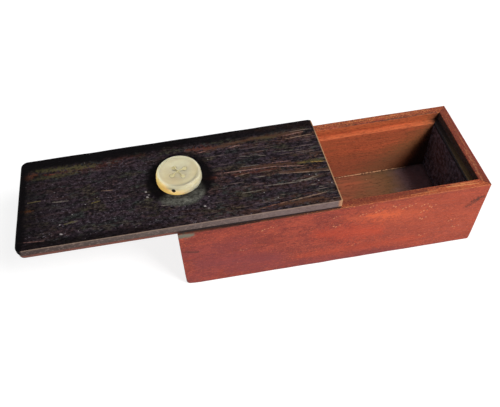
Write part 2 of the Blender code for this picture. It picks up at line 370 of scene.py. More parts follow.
def station_place(carcass, half_length, share, depth, exit_share):
    """Place along a wall. Every station leans over towards the mitre at the end."""
    reach = half_length - depth - carcass.joint
    if exit_share is None:
        return share * reach
    step = min(half_length - carcass.rim, reach)
    if abs(share) <= exit_share:
        return share / exit_share * step
    rest = (abs(share) - exit_share) / (1 - exit_share)
    return math.copysign(step + rest * (reach - step), share)


def wall_point(carcass, local, half_length, raised):
    """A wall's point in its own frame with the arrises eased: length, depth and height."""
    place = local.copy()
    height = BOX_HEIGHT if raised else carcass.ledge
    size = varied(place, 0.4, 5 * MM)
    foot = max(0, 1 - place.z / FOOT_REACH)
    radius = (carcass.arris + (carcass.foot - carcass.arris) * foot * foot) * size
    place = eased(place, (-half_length, 0, 0), (half_length, FAR, height), radius)
    inner = carcass.inner_arris * size
    if local.z > carcass.ledge + WELD:
        return eased(place, (-FAR, -FAR, -FAR), (FAR, carcass.rim, BOX_HEIGHT), inner)
    if local.y > carcass.rim + WELD:
        return eased(place, (-FAR, -FAR, -FAR), (FAR, carcass.wall, carcass.ledge), inner)
    return place


def inside_outline(place):
    """The point kept within the carcass's outline."""
    half_length, half_width = BOX_LENGTH / 2, BOX_WIDTH / 2
    x = min(max(place.x, -half_length), half_length)
    y = min(max(place.y, -half_width), half_width)
    return Vector((x, y, min(place.z, BOX_HEIGHT)))


def worn_corner(carcass, place):
    """The point eased where the front bottom corner of the exit end is rubbed round."""
    corner = Vector((-BOX_LENGTH / 2, -BOX_WIDTH / 2, 0))
    near = max(0, 1 - (place - corner).length / CORNER_REACH)
    return eased(place, corner, Vector((FAR, FAR, FAR)), carcass.worn_corner * near)


def wall_mesh(name, carcass, half_length, place, turn, exit_share=None):
    """A mitred, rebated wall with its outer face on the carcass's outline."""
    sections = {True: wall_section(carcass, BOX_HEIGHT), False: wall_section(carcass, carcass.ledge)}
    turned = Matrix.Translation((*place, 0)) @ Matrix.Rotation(turn, 4, "Z")
    shape = bmesh.new()
    rings = []
    for share, raised in wall_stations(half_length, exit_share):
        ring = []
        for depth, height in sections[raised]:
            along = station_place(carcass, half_length, share, depth, exit_share)
            local = wall_point(carcass, Vector((along, depth, height)), half_length, raised)
            rubbed = worn_corner(carcass, turned @ local)
            ring.append(shape.verts.new(inside_outline(strayed(rubbed, carcass.unevenness))))
        rings.append(ring)
    bridge(shape, rings)
    shape.faces.new(rings[0])
    shape.faces.new(reversed(rings[-1]))
    return as_mesh(name, shape)


class STUDBOX_OT_long_walls(bpy.types.Operator):
    """Build the front and back walls, mitred at both ends and rebated for the lid"""
    bl_idname = "studbox.long_walls"
    bl_label = "Long Walls"
    bl_options = {"REGISTER", "UNDO"}

    def execute(self, context):
        carcass = context.scene.stud_box_carcass
        finish = mahogany_material("polished_mahogany", carcass, "X")
        half_length, half_width = BOX_LENGTH / 2, BOX_WIDTH / 2
        front = wall_mesh("front_wall", carcass, half_length, (0, -half_width), 0)
        back = wall_mesh("back_wall", carcass, half_length, (0, half_width), math.pi)
        add_piece("front_wall", front, "box", "front_board", finish)
        add_piece("back_wall", back, "box", "back_board", finish)
        return {"FINISHED"}


class STUDBOX_OT_end_walls(bpy.types.Operator):
    """Build the closed end and the exit end, which is cut down between the rims"""
    bl_idname = "studbox.end_walls"
    bl_label = "End Walls"
    bl_options = {"REGISTER", "UNDO"}

    def execute(self, context):
        carcass = context.scene.stud_box_carcass
        finish = mahogany_material("polished_mahogany_end", carcass, "Y")
        half_length, half_width = BOX_LENGTH / 2, BOX_WIDTH / 2
        exit_share = 1 - carcass.rim / half_width
        right = wall_mesh("closed_end_wall", carcass, half_width, (half_length, 0), math.pi / 2)
        left = wall_mesh("exit_end_wall", carcass, half_width, (-half_length, 0), -math.pi / 2, exit_share)
        add_piece("closed_end_wall", right, "box", "right_end_board", finish)
        add_piece("exit_end_wall", left, "box", "left_end_board", finish)
        return {"FINISHED"}


class STUDBOX_OT_floor_board(bpy.types.Operator):
    """Build the floor board that is let in between the walls"""
    bl_idname = "studbox.floor_board"
    bl_label = "Floor Board"
    bl_options = {"REGISTER", "UNDO"}

    def execute(self, context):
        carcass = context.scene.stud_box_carcass
        inset = carcass.wall + 2 * carcass.joint
        high = Vector((BOX_LENGTH / 2 - inset, BOX_WIDTH / 2 - inset, FLOOR_HIGH.z))
        low = Vector((-high.x, -high.y, FLOOR_LOW.z))

        def form(place):
            radius = BOARD_ARRIS * varied(place, 0.5, 3 * MM)
            return strayed(eased(place, low, high, radius), carcass.unevenness / 2)

        mesh = block_mesh("floor_board", low, high, BOARD_STEP, form)
        add_piece("floor_board", mesh, "box", "bottom_board", floor_material(carcass))
        return {"FINISHED"}


# Lid.

PLATE_STEP = 1.1 * MM
LINING_STEP = 2.4 * MM
END_BLEND = 8 * MM
PLATE_FOOT = 0.1 * MM
PLATE_RIPPLE = 0.02 * MM
SHORTFALL = 0.15 * MM
BACK_OVERHANG = 0.1 * MM
FLANGE_DROP = 0.45 * MM
FLANGE_REACH = 0.6 * MM
FLANGE_ARRIS = 0.07 * MM
TONGUE_ARRIS = 0.28 * MM


def plate_outline(lid, place, low, high):
    """Distance of a point inside the plate's rounded outline, and the outward direction there."""
    middle = (low + high) / 2
    half = (high - low) / 2
    x, y = place.x - middle.x, place.y - middle.y
    corner = lid.left_corner if x < 0 else (lid.back_corner if y > 0 else lid.front_corner)
    over_x, over_y = abs(x) - (half.x - corner), abs(y) - (half.y - corner)
    if over_x > 0 and over_y > 0:
        out = Vector((over_x, over_y))
        inside = corner - out.length
        out.normalize()
    elif over_x > over_y:
        inside, out = corner - over_x, Vector((1, 0))
    else:
        inside, out = corner - over_y, Vector((0, 1))
    return inside, Vector((math.copysign(out.x, x), math.copysign(out.y, y), 0))


def roll_size(lid, out):
    """Width of the top's rounding for an outward direction."""
    side_x = lid.right_roll if out.x > 0 else lid.far_roll
    side_y = lid.far_roll if out.y > 0 else lid.near_roll
    return side_x * out.x * out.x + side_y * out.y * out.y


def end_reach(lid, place, low, high):
    """How much further the lid's inner end reaches, most at its front corner."""
    near_end = min(1, max(0, 1 - (high.x - place.x) / END_BLEND))
    forward = min(1, max(0, (high.y - place.y) / (high.y - low.y)))
    return Vector((near_end * (lid.end_reach + lid.end_slant * forward), 0, 0))


def plate_base(lid, x, low):
    """Height of the plate's underside, which rises towards the drawn-out end."""
    return low.z + lid.thinning * min(1, max(0, (PLATE_HIGH.x - x) / (PLATE_HIGH.x - PLATE_LOW.x)))


def plate_form(lid, low, high):
    """Form of the lid's plate: round plan corners, a rolled top edge and a small bottom arris."""
    def form(place):
        inside, out = plate_outline(lid, place, low, high)
        moved = place.copy()
        if inside < 0:
            moved += out * inside
            inside = 0
        width = roll_size(lid, out) * varied(place, 0.3, 6 * MM)
        drop = min(width, 0.5 * width + 0.25 * MM)
        height = (place.z - low.z) / (high.z - low.z)
        base = plate_base(lid, place.x, low)
        moved.z = base + height * (high.z - base)
        depth = high.z - moved.z
        q = Vector((1 - inside / width, 1 - depth / drop))
        if q.x > 0 and q.y > 0 and q.length > 1:
            q.normalize()
            moved -= out * (width * (1 - q.x) - inside)
            moved.z = high.z - drop * (1 - q.y)
        if inside < PLATE_FOOT and moved.z < base + PLATE_FOOT:
            moved -= out * PLATE_FOOT * (1 - (moved.z - base) / PLATE_FOOT) * (1 - inside / PLATE_FOOT)
        ripple = noise.noise(place / (11 * MM)) + 0.4 * noise.noise(place / (2.3 * MM))
        moved.z += PLATE_RIPPLE * (ripple - 1.4) * min(1, max(0, (place.z - low.z) / MM))
        return moved + end_reach(lid, place, low, high)
    return form


class STUDBOX_OT_lid_plate(bpy.types.Operator):
    """Build the dark plate of the lid"""
    bl_idname = "studbox.lid_plate"
    bl_label = "Lid Plate"
    bl_options = {"REGISTER", "UNDO"}

    def execute(self, context):
        lid = context.scene.stud_box_lid
        low = Vector((PLATE_LOW.x + SHORTFALL, PLATE_LOW.y - lid.front_overhang, LINING_TOP))
        high = PLATE_HIGH + Vector((0, BACK_OVERHANG, 0))
        mesh = block_mesh("lid_dark_plate", low, high, PLATE_STEP, plate_form(lid, low, high))
        add_piece("lid_dark_plate", mesh, "lid", "lid_plate", dark_wood_material(lid))
        return {"FINISHED"}


class STUDBOX_OT_lid_lining(bpy.types.Operator):
    """Build the mahogany under the plate: a thin flange, and the tongue that runs in the rebate"""
    bl_idname = "studbox.lid_lining"
    bl_label = "Lid Lining"
    bl_options = {"REGISTER", "UNDO"}

    def execute(self, context):
        lid = context.scene.stud_box_lid
        carcass = context.scene.stud_box_carcass
        top = LINING_TOP - carcass.joint
        flange_base = LINING_HIGH.z - FLANGE_DROP
        front = PLATE_LOW.y - lid.front_overhang + 0.06 * MM
        flange_low = Vector((LINING_LOW.x - FLANGE_REACH, front, flange_base))
        flange_high = Vector((LINING_HIGH.x - 0.05 * MM, LINING_HIGH.y - 0.1 * MM, top))
        tongue_low = Vector((LINING_LOW.x, -lid.tongue_half, LINING_LOW.z))
        tongue_high = Vector((LINING_HIGH.x - lid.tongue_setback, lid.tongue_half, flange_base + 0.1 * MM))

        def flange_form(place):
            inside, out = plate_outline(lid, place, flange_low, flange_high)
            moved = eased(place, flange_low, flange_high, FLANGE_ARRIS) + out * min(0, inside)
            height = (moved.z - flange_base) / (top - flange_base)
            moved.z += height * (plate_base(lid, moved.x, flange_high) - flange_high.z)
            return moved + end_reach(lid, place, flange_low, flange_high)

        def tongue_form(place):
            radius = TONGUE_ARRIS * varied(place, 0.4, 4 * MM)
            return eased(place, tongue_low, tongue_high + Vector((0, 0, MM)), radius)

        flange = block_mesh("lid_flange", flange_low, flange_high, LINING_STEP, flange_form)
        tongue = block_mesh("lid_tongue", tongue_low, tongue_high, LINING_STEP, tongue_form)
        mesh = joined("lid_mahogany_lining", flange, [tongue], "UNION")
        finish = lining_material(carcass)
        add_piece("lid_mahogany_lining", mesh, "lid", "lid_lining", finish)
        return {"FINISHED"}


# Button and thread.

# Points along the parts of the button's half section, and round one of its holes.
DISH_STEPS, RIM_STEPS, CROWN_STEPS, BACK_STEPS, DRILL_STEPS = 12, 8, 16, 10, 40
CROWN_SHARE = 0.53
SHOULDER_SHARE = 0.14
BUTTON_SINK = 0.02 * MM
PIT_WAY = (-1.9, -5.8, 0)
PIT_RADIUS = 0.36 * MM
PIT_RISE = 1.6 * MM
# Points along a stitch's bend, its half span, its coil and one turn of that coil.
BEND_STEPS, SPAN_STEPS, COIL_STEPS, TURN_STEPS = 8, 10, 96, 24
STITCH_BEND = 0.4 * MM
STITCH_BASE = 0.6 * MM
THREAD_STEP = 0.06 * MM
THREAD_LAY = 0.9 * MM
PLIES = 3
PLY_SIDES = 8
PLY_SHARE = 0.56


def turned_mesh(name, profile, steps, centre, wobble=0.0):
    """A closed turned shape from a profile of (radius, height) that starts and ends on the axis."""
    shape = bmesh.new()
    rings = []
    for radius, height in profile:
        if radius < WELD:
            rings.append([shape.verts.new(centre + Vector((0, 0, height)))])
            continue
        ring = []
        for step in range(steps):
            angle = 2 * math.pi * step / steps
            way = Vector((math.cos(angle), math.sin(angle), 0))
            place = centre + way * radius + Vector((0, 0, height))
            sink = wobble * noise.noise(way * 1.3) - wobble
            place += way * wobble * noise.noise(way * 1.7) + Vector((0, 0, sink))
            ring.append(shape.verts.new(place))
        rings.append(ring)
    bridge(shape, rings)
    return as_mesh(name, shape)


def dish_height(button, radius, dish_radius, dish_edge):
    """Height of the dished face at a radius, above the button's base."""
    share = radius / dish_radius
    return dish_edge - button.dish_sag * (1 - share * share)


def button_profile(button, radius, thickness):
    """Half section of the button from the dish's centre over the rim and down the side to the back."""
    dish_radius = radius - button.rim_width
    dish_edge = thickness - button.rim_rise
    points = []
    for step in range(DISH_STEPS):
        at = dish_radius * step / DISH_STEPS
        points.append((at, dish_height(button, at, dish_radius, dish_edge)))
    crown = dish_radius + CROWN_SHARE * button.rim_width
    for step in range(RIM_STEPS + 1):
        share = step / RIM_STEPS
        points.append((dish_radius + (crown - dish_radius) * share,
                       dish_edge + button.rim_rise * math.sin(math.pi / 2 * share) ** 2))
    shoulder = SHOULDER_SHARE * thickness
    for step in range(1, CROWN_STEPS + 1):
        angle = math.pi / 2 * step / CROWN_STEPS
        points.append((crown + (radius - crown) * math.sin(angle),
                       thickness - (thickness - shoulder) * (1 - math.cos(angle))))
    swell = radius - button.back_radius
    for step in range(1, BACK_STEPS + 1):
        angle = math.pi / 2 * step / BACK_STEPS
        points.append((button.back_radius + swell * math.cos(angle) ** 0.8, shoulder * (1 - math.sin(angle))))
    points += [(button.back_radius / 2, 0), (0, 0)]
    return points


def hole_places(button):
    """Centres of the four holes in plan."""
    half = button.hole_pitch / 2
    turned = Matrix.Rotation(button.turn, 3, "Z")
    for side_x in (-1, 1):
        for side_y in (-1, 1):
            yield BUTTON_CENTRE + turned @ Vector((side_x * half, side_y * half, 0))


def drill_mesh(name, button, centre, face):
    """A drill with a flared mouth, to cut one hole."""
    radius, top, bottom = button.hole_radius, face + 2 * MM, -MM
    flare = [(radius + 0.06 * MM, face + 0.02 * MM), (radius + 0.02 * MM, face - 0.03 * MM),
             (radius, face - 0.08 * MM)]
    profile = [(0, top), (radius + 0.08 * MM, top), *flare, (radius, bottom), (0, bottom)]
    return turned_mesh(name, profile, DRILL_STEPS, centre)


def pit_mesh(name, centre):
    """A rough little hollow, to cut the pit in the button's edge."""
    shape = bmesh.new()
    bmesh.ops.create_icosphere(shape, subdivisions=3, radius=1)
    for vert in shape.verts:
        size = PIT_RADIUS * (1 + 0.8 * noise.noise(vert.co * 1.3))
        vert.co = centre + Vector((vert.co.x * size * 1.1, vert.co.y * size * 1.3, vert.co.z * size))
    return as_mesh(name, shape, sharp=60)


class STUDBOX_OT_button(bpy.types.Operator):
    """Turn the pearl button, drill its four holes and leave the pit in its edge"""
    bl_idname = "studbox.button"
    bl_label = "Button"
    bl_options = {"REGISTER", "UNDO"}

    def execute(self, context):
        button = context.scene.stud_box_button
        base = PLATE_HIGH.z - BUTTON_SINK
        centre = Vector((BUTTON_CENTRE.x, BUTTON_CENTRE.y, base))
        radius = (BUTTON_HIGH.x - BUTTON_LOW.x) / 2
        thickness = BUTTON_HIGH.z - base
        blank = turned_mesh("button_blank", button_profile(button, radius - 0.01 * MM, thickness),
                            button.steps, centre, 0.02 * MM)
        face = thickness - button.rim_rise - button.dish_sag * 0.8
        cutters = [drill_mesh("drill", button, Vector((place.x, place.y, base)), face)
                   for place in hole_places(button)]
        way = Vector(PIT_WAY).normalized()
        cutters.append(pit_mesh("pit", centre + way * radius * 0.97 + Vector((0, 0, PIT_RISE))))
        mesh = joined("pearl_pull", blank, cutters, "DIFFERENCE", sharp=42)
        add_piece("pearl_pull", mesh, "lid", "pearl_button", pearl_material(button))
        return {"FINISHED"}


def carried(route, side):
    """Each point of a route with a side and an up direction that turn as little as they can."""
    for index, place in enumerate(route):
        ahead = route[min(index + 1, len(route) - 1)] - route[max(index - 1, 0)]
        ahead.normalize()
        side = (side - ahead * side.dot(ahead)).normalized()
        yield place, side, ahead.cross(side)


def tube(shape, route, radius):
    """Add a closed tube along a route of points to a bmesh."""
    rings = []
    start = Vector((0, 0, 1)).cross(route[1] - route[0])
    if start.length < 1e-9:
        start = Vector((0, 1, 0))
    start.normalize()
    for place, side, up in carried(route, start):
        ring = []
        for step in range(PLY_SIDES):
            angle = 2 * math.pi * step / PLY_SIDES
            ring.append(shape.verts.new(place + radius * (side * math.cos(angle) + up * math.sin(angle))))
        rings.append(ring)
    bridge(shape, rings)
    shape.faces.new(reversed(rings[0]))
    shape.faces.new(rings[-1])


def stitch_route(reach, height, lift):
    """Points in the XZ plane: up one hole, over the dish and down the opposite hole."""
    half = [(reach, STITCH_BASE)]
    straight = reach - STITCH_BEND
    for step in range(BEND_STEPS + 1):
        angle = math.pi / 2 * step / BEND_STEPS
        half.append((straight + STITCH_BEND * math.cos(angle), height - STITCH_BEND * (1 - math.sin(angle))))
    for step in range(1, SPAN_STEPS):
        share = 1 - step / SPAN_STEPS
        half.append((straight * share, height + lift * (1 - share * share)))
    return half + [(0, height + lift)] + [(-x, z) for x, z in reversed(half)]


def resampled(points, gap):
    """Points at an even gap along a route."""
    spaced = [points[0].copy()]
    for before, after in zip(points, points[1:]):
        count = max(1, round((after - before).length / gap))
        spaced += [before.lerp(after, step / count) for step in range(1, count + 1)]
    return spaced


def twisted(shape, route, radius):
    """Add a thread of twisted plies along a route to a bmesh."""
    ply_radius = radius * PLY_SHARE
    offset = radius - ply_radius
    for ply in range(PLIES):
        length = 0.0
        line = []
        last = route[0]
        for place, side, up in carried(route, Vector((0, 1, 0))):
            length += (place - last).length
            last = place
            angle = 2 * math.pi * (length / THREAD_LAY + ply / PLIES)
            line.append(place + offset * (side * math.cos(angle) + up * math.sin(angle)))
        tube(shape, line, ply_radius)


def stitch_mesh(name, button, turn, lift):
    """One stitch of twisted thread through two opposite holes, with the thread coiled in each hole."""
    radius = (BUTTON_HIGH.x - BUTTON_LOW.x) / 2
    base = BUTTON_LOW.z
    thickness = BUTTON_HIGH.z - base
    reach = button.hole_pitch / math.sqrt(2)
    dish_edge = thickness - button.rim_rise
    face = dish_height(button, reach, radius - button.rim_width, dish_edge)
    height = face - 0.02 * MM + button.thread_radius
    shape = bmesh.new()
    route = [Vector((x, 0, z)) for x, z in stitch_route(reach, height, lift)]
    twisted(shape, resampled(route, THREAD_STEP), button.thread_radius)
    for side in (-1, 1):
        coil = []
        for step in range(COIL_STEPS + 1):
            angle = 2 * math.pi * step / TURN_STEPS * side
            share = step / COIL_STEPS
            out = (0.56 - 0.42 * share) * MM
            coil.append(Vector((side * reach + out * math.cos(angle), out * math.sin(angle),
                                face - (0.11 - 0.06 * share) * MM)))
        twisted(shape, coil, button.thread_radius * 0.95)
    placed = Matrix.Translation((BUTTON_CENTRE.x, BUTTON_CENTRE.y, base))
    placed = placed @ Matrix.Rotation(button.turn + turn, 4, "Z")
    bmesh.ops.transform(shape, matrix=placed, verts=shape.verts)
    return as_mesh(name, shape, sharp=70)


class STUDBOX_OT_stitches(bpy.types.Operator):
    """Sew the two crossed stitches of pale thread"""
    bl_idname = "studbox.stitches"
    bl_label = "Stitches"
    bl_options = {"REGISTER", "UNDO"}

    def execute(self, context):
        button = context.scene.stud_box_button
        finish = thread_material(button)
        under = stitch_mesh("stitch_under", button, -math.pi / 4, 0)
        over = stitch_mesh("stitch_over", button, math.pi / 4, 1.7 * button.thread_radius)
        add_piece("stitch_under", under, "lid", "under_stitch", finish)
        add_piece("stitch_over", over, "lid", "over_stitch", finish)
        return {"FINISHED"}


# Node trees.

# A mix node's sockets for colours and for numbers: the factor, the two values and the result.
COLOUR_SOCKETS = (0, 6, 7, 2)
NUMBER_SOCKETS = (0, 2, 3, 0)


class Nodes:
    """Adds nodes to a shader tree. A value may be a plain value or another node's socket."""

    def __init__(self, tree):
        self.tree = tree
        tree.nodes.clear()

    def feed(self, socket, value):
        """Set or link a socket."""
        if isinstance(value, bpy.types.NodeSocket):
            self.tree.links.new(value, socket)
        elif value is not None:
            socket.default_value = value

    def add(self, kind, inputs=None, **options):
        """A new node with its inputs fed and its options set."""
        node = self.tree.nodes.new(kind)
        for key, value in options.items():
            setattr(node, key, value)
        for key, value in (inputs or {}).items():
            self.feed(node.inputs[key], value)
        return node

    def math(self, operation, *values):
        node = self.add("ShaderNodeMath", operation=operation)
        for socket, value in zip(node.inputs, values):
            self.feed(socket, value)
        return node.outputs[0]

    def vector(self, operation, *values):
        node = self.add("ShaderNodeVectorMath", operation=operation)
        for socket, value in zip(node.inputs, values):
            self.feed(socket, value)
        scalar = operation in ("LENGTH", "DISTANCE", "DOT_PRODUCT")
        return node.outputs["Value" if scalar else "Vector"]

    times = partialmethod(math, "MULTIPLY")
    plus = partialmethod(math, "ADD")
    minus = partialmethod(math, "SUBTRACT")
    over = partialmethod(math, "DIVIDE")
    least = partialmethod(math, "MINIMUM")
    most = partialmethod(math, "MAXIMUM")
    stretch = partialmethod(vector, "MULTIPLY")

    def scaled(self, vector, factor):
        node = self.add("ShaderNodeVectorMath", operation="SCALE")
        self.feed(node.inputs[0], vector)
        self.feed(node.inputs["Scale"], factor)
        return node.outputs["Vector"]

    def split(self, vector):
        return self.add("ShaderNodeSeparateXYZ", {"Vector": vector}).outputs

    def combine(self, x, y, z):
        return self.add("ShaderNodeCombineXYZ", {"X": x, "Y": y, "Z": z}).outputs["Vector"]

    def fade(self, value, start, end):
        """0 below start, 1 above end, smooth between."""
        inputs = {"Value": value, "From Min": start, "From Max": end}
        return self.add("ShaderNodeMapRange", inputs, interpolation_type="SMOOTHSTEP").outputs["Result"]

    def cloud(self, vector, scale=1.0, detail=2.0, roughness=0.5):
        inputs = {"Vector": vector, "Scale": scale, "Detail": detail, "Roughness": roughness}
        return self.add("ShaderNodeTexNoise", inputs).outputs["Fac"]

    def hues(self, vector, detail=3.0, roughness=0.7):
        """Three separate clouds at once."""
        inputs = {"Vector": vector, "Scale": 1.0, "Detail": detail, "Roughness": roughness}
        return self.split(self.add("ShaderNodeTexNoise", inputs).outputs["Color"])

    def outside(self, value, start, end):
        """1 below start, 0 above end, smooth between."""
        return self.minus(1.0, self.fade(value, start, end))

    def tint(self, colour, mask, strength, other):
        """The colour with another laid over it by a mask."""
        return self.mix(self.times(mask, strength), colour, other)

    def patches(self, colour, rows):
        """The colour with others laid over it in turn. A row is (value, start, end, strength, other)."""
        for value, start, end, strength, other in rows:
            colour = self.tint(colour, self.fade(value, start, end), strength, other)
        return colour

    def blend(self, kind, sockets, values):
        """A mix node of a kind, fed with a factor and two values."""
        node = self.add("ShaderNodeMix", data_type=kind)
        for index, value in zip(sockets, values):
            self.feed(node.inputs[index], value)
        return node.outputs[sockets[-1]]

    def mix(self, factor, first, second):
        """From the first colour to the second."""
        values = [(*value[:3], 1) if isinstance(value, (tuple, Color)) else value
                  for value in (factor, first, second)]
        return self.blend("RGBA", COLOUR_SOCKETS, values)

    def between(self, factor, first, second):
        """From the first number to the second."""
        return self.blend("FLOAT", NUMBER_SOCKETS, (factor, first, second))

    def group(self, name, **inputs):
        """The outputs of a node group, its inputs named in small letters."""
        node = self.add("ShaderNodeGroup", node_tree=bpy.data.node_groups[name])
        for key, value in inputs.items():
            self.feed(node.inputs[key.replace("_", " ").title()], value)
        return node.outputs


def new_group(name, inputs, outputs):
    """A node group with named sockets: its nodes, its inputs and its output node."""
    tree = bpy.data.node_groups.new(name, "ShaderNodeTree")
    nodes = Nodes(tree)
    for label, kind, value in inputs:
        socket = tree.interface.new_socket(label, in_out="INPUT", socket_type=kind)
        if value is not None:
            socket.default_value = value
    for label in outputs:
        tree.interface.new_socket(label, in_out="OUTPUT", socket_type="NodeSocketFloat")
    return nodes, nodes.add("NodeGroupInput").outputs, nodes.add("NodeGroupOutput").inputs


VECTOR, NUMBER = "NodeSocketVector", "NodeSocketFloat"


def grain_group():
    """Wood grain along X, in millimetres: broad figure, fine fibre, open pores and their relief."""
    nodes, source, out = new_group("Wood Grain", (
        ("Vector", VECTOR, None), ("Figure Width", NUMBER, 2.4), ("Fibre Width", NUMBER, 0.3),
        ("Pore Width", NUMBER, 0.15), ("Waviness", NUMBER, 1.2), ("Seed", NUMBER, 0.0),
    ), ("Figure", "Fibre", "Pores", "Height"))
    seeded = nodes.vector("ADD", source["Vector"], nodes.combine(source["Seed"], source["Seed"], 0.0))
    sway = nodes.cloud(nodes.stretch(seeded, (0.035, 0.1, 0.1)))
    sway = nodes.times(nodes.minus(sway, 0.5), source["Waviness"])
    swayed = nodes.vector("ADD", seeded, nodes.combine(0.0, sway, sway))

    def streaks(length, width, detail):
        across = nodes.over(1.0, width)
        stretched = nodes.stretch(swayed, nodes.combine(1 / length, across, across))
        return nodes.cloud(stretched, detail=detail, roughness=0.6)

    figure = nodes.fade(streaks(45.0, source["Figure Width"], 3.0), 0.33, 0.68)
    fibre = nodes.fade(streaks(7.0, source["Fibre Width"], 2.0), 0.28, 0.72)
    pores = nodes.fade(streaks(1.3, source["Pore Width"], 0.0), 0.64, 0.76)
    nodes.feed(out["Figure"], figure)
    nodes.feed(out["Fibre"], fibre)
    nodes.feed(out["Pores"], pores)
    nodes.feed(out["Height"], nodes.minus(nodes.times(fibre, 0.35), pores))


def edge_band_group():
    """A band along a box's edges, near two of its faces at once, with a ragged limit: worn edges on the walls
    and the lining, painted shade in the floor's corners.
    """
    nodes, source, out = new_group("Edge Band", (
        ("Vector", VECTOR, None), ("Low", VECTOR, None), ("High", VECTOR, None), ("Width", NUMBER, 0.4),
    ), ("Band",))
    from_low = nodes.vector("ABSOLUTE", nodes.vector("SUBTRACT", source["Vector"], source["Low"]))
    from_high = nodes.vector("ABSOLUTE", nodes.vector("SUBTRACT", source["High"], source["Vector"]))
    near = nodes.split(nodes.vector("MINIMUM", from_low, from_high))
    smaller = nodes.least(near["X"], near["Y"])
    larger = nodes.most(near["X"], near["Y"])
    second = nodes.most(smaller, nodes.least(larger, near["Z"]))
    ragged = nodes.times(nodes.cloud(source["Vector"], 0.55, 4.0, 0.65), 2.2)
    limit = nodes.times(source["Width"], nodes.minus(ragged, 0.2))
    nodes.feed(out["Band"], nodes.outside(second, 0.0, limit))


def streak_group():
    """A streak between two points, soft across and broken up along."""
    nodes, source, out = new_group("Streak", (
        ("Vector", VECTOR, None), ("Start", VECTOR, None), ("End", VECTOR, None),
        ("Width", NUMBER, 0.4), ("Break Up", NUMBER, 0.5),
    ), ("Mask",))
    run = nodes.vector("SUBTRACT", source["End"], source["Start"])
    offset = nodes.vector("SUBTRACT", source["Vector"], source["Start"])
    share = nodes.over(nodes.vector("DOT_PRODUCT", offset, run), nodes.vector("DOT_PRODUCT", run, run))
    share = nodes.least(nodes.most(share, 0.0), 1.0)
    nearest = nodes.scaled(run, share)
    away = nodes.vector("DISTANCE", offset, nearest)
    taper = nodes.minus(1.15, nodes.math("ABSOLUTE", nodes.minus(share, 0.5)))
    grit = nodes.cloud(source["Vector"], 1.6, 3.0, 0.7)
    broken = nodes.between(source["Break Up"], 1.0, nodes.fade(grit, 0.36, 0.66))
    reach = nodes.times(nodes.times(source["Width"], taper), broken)
    nodes.feed(out["Mask"], nodes.outside(away, 0.0, nodes.plus(reach, 0.001)))


def region_group():
    """Inside of a box between two corners, with a soft limit."""
    nodes, source, out = new_group("Region", (
        ("Vector", VECTOR, None), ("Low", VECTOR, None), ("High", VECTOR, None), ("Softness", NUMBER, 0.2),
    ), ("Mask",))
    from_low = nodes.vector("SUBTRACT", source["Vector"], source["Low"])
    from_high = nodes.vector("SUBTRACT", source["High"], source["Vector"])
    near = nodes.split(nodes.vector("MINIMUM", from_low, from_high))
    inside = nodes.least(nodes.least(near["X"], near["Y"]), near["Z"])
    half = nodes.times(source["Softness"], 0.5)
    nodes.feed(out["Mask"], nodes.fade(inside, nodes.times(half, -1.0), half))


def specks_group():
    """Scattered specks of dust and chips."""
    nodes, source, out = new_group("Specks", (
        ("Vector", VECTOR, None), ("Spacing", NUMBER, 1.5), ("Size", NUMBER, 0.15), ("Share", NUMBER, 0.3),
    ), ("Mask",))
    scale = nodes.over(1.0, source["Spacing"])
    cells = nodes.add("ShaderNodeTexVoronoi", {"Vector": source["Vector"], "Scale": scale, "Randomness": 1.0})
    pick = nodes.split(cells.outputs["Color"])["X"]
    chosen = nodes.math("LESS_THAN", pick, source["Share"])
    size = nodes.over(source["Size"], source["Spacing"])
    spot = nodes.outside(cells.outputs["Distance"], nodes.times(size, 0.4), size)
    nodes.feed(out["Mask"], nodes.times(spot, chosen))


def build_groups():
    """The effects that several materials share."""
    for build in (grain_group, edge_band_group, streak_group, region_group, specks_group):
        build()


def new_material(name):
    """A material with a Principled shader: its nodes, the shader and the place in millimetres."""
    material = bpy.data.materials.new(name)
    material.use_nodes = True
    nodes = Nodes(material.node_tree)
    shader = nodes.add("ShaderNodeBsdfPrincipled")
    output = nodes.add("ShaderNodeOutputMaterial")
    nodes.feed(output.inputs["Surface"], shader.outputs["BSDF"])
    coordinates = nodes.add("ShaderNodeTexCoord").outputs["Object"]
    return material, nodes, shader, nodes.scaled(coordinates, 1 / MM)


def mm(*values):
    """Numbers in metres as a tuple in millimetres."""
    return tuple(value / MM for value in values)


def add_streaks(nodes, colour, place, streaks):
    """Lay streaks over a colour. Each is (start, end, width, break up, strength, colour)."""
    for start, end, width, break_up, strength, tint in streaks:
        mask = nodes.group("Streak", vector=place, start=start, end=end, width=width, break_up=break_up)["Mask"]
        colour = nodes.tint(colour, mask, strength, tint)
    return colour


def region(nodes, place, low, high, softness):
    """Mask of the inside of a box between two corners in metres."""
    return nodes.group("Region", vector=place, low=mm(*low), high=mm(*high), softness=softness)["Mask"]


def finished(material, nodes, shader, colour, rough, specular, height, depth):
    """Feed a material's shader: its colour, roughness, gloss and relief."""
    nodes.feed(shader.inputs["Base Color"], colour)
    nodes.feed(shader.inputs["Roughness"], rough)
    shader.inputs["Specular IOR Level"].default_value = specular
    bump = nodes.add("ShaderNodeBump", {"Height": height, "Distance": depth, "Strength": 1.0})
    nodes.feed(shader.inputs["Normal"], bump.outputs["Normal"])
    return material


# Materials.

WOOD_GLOSS = 0.12
# The faces that streaks lie on, in millimetres.
FRONT_FACE, RIM_TOP, FLOOR_TOP, LID_TOP = -16.0, 23.3, 4.3, 26.5


def mahogany_colour(nodes, grain, light, dark, pore, figure=0.4):
    """Mahogany from its figure, fibres and pores."""
    share = nodes.between(figure, grain["Fibre"], grain["Figure"])
    colour = nodes.mix(share, dark, light)
    return nodes.tint(colour, grain["Pores"], 0.5, pore)


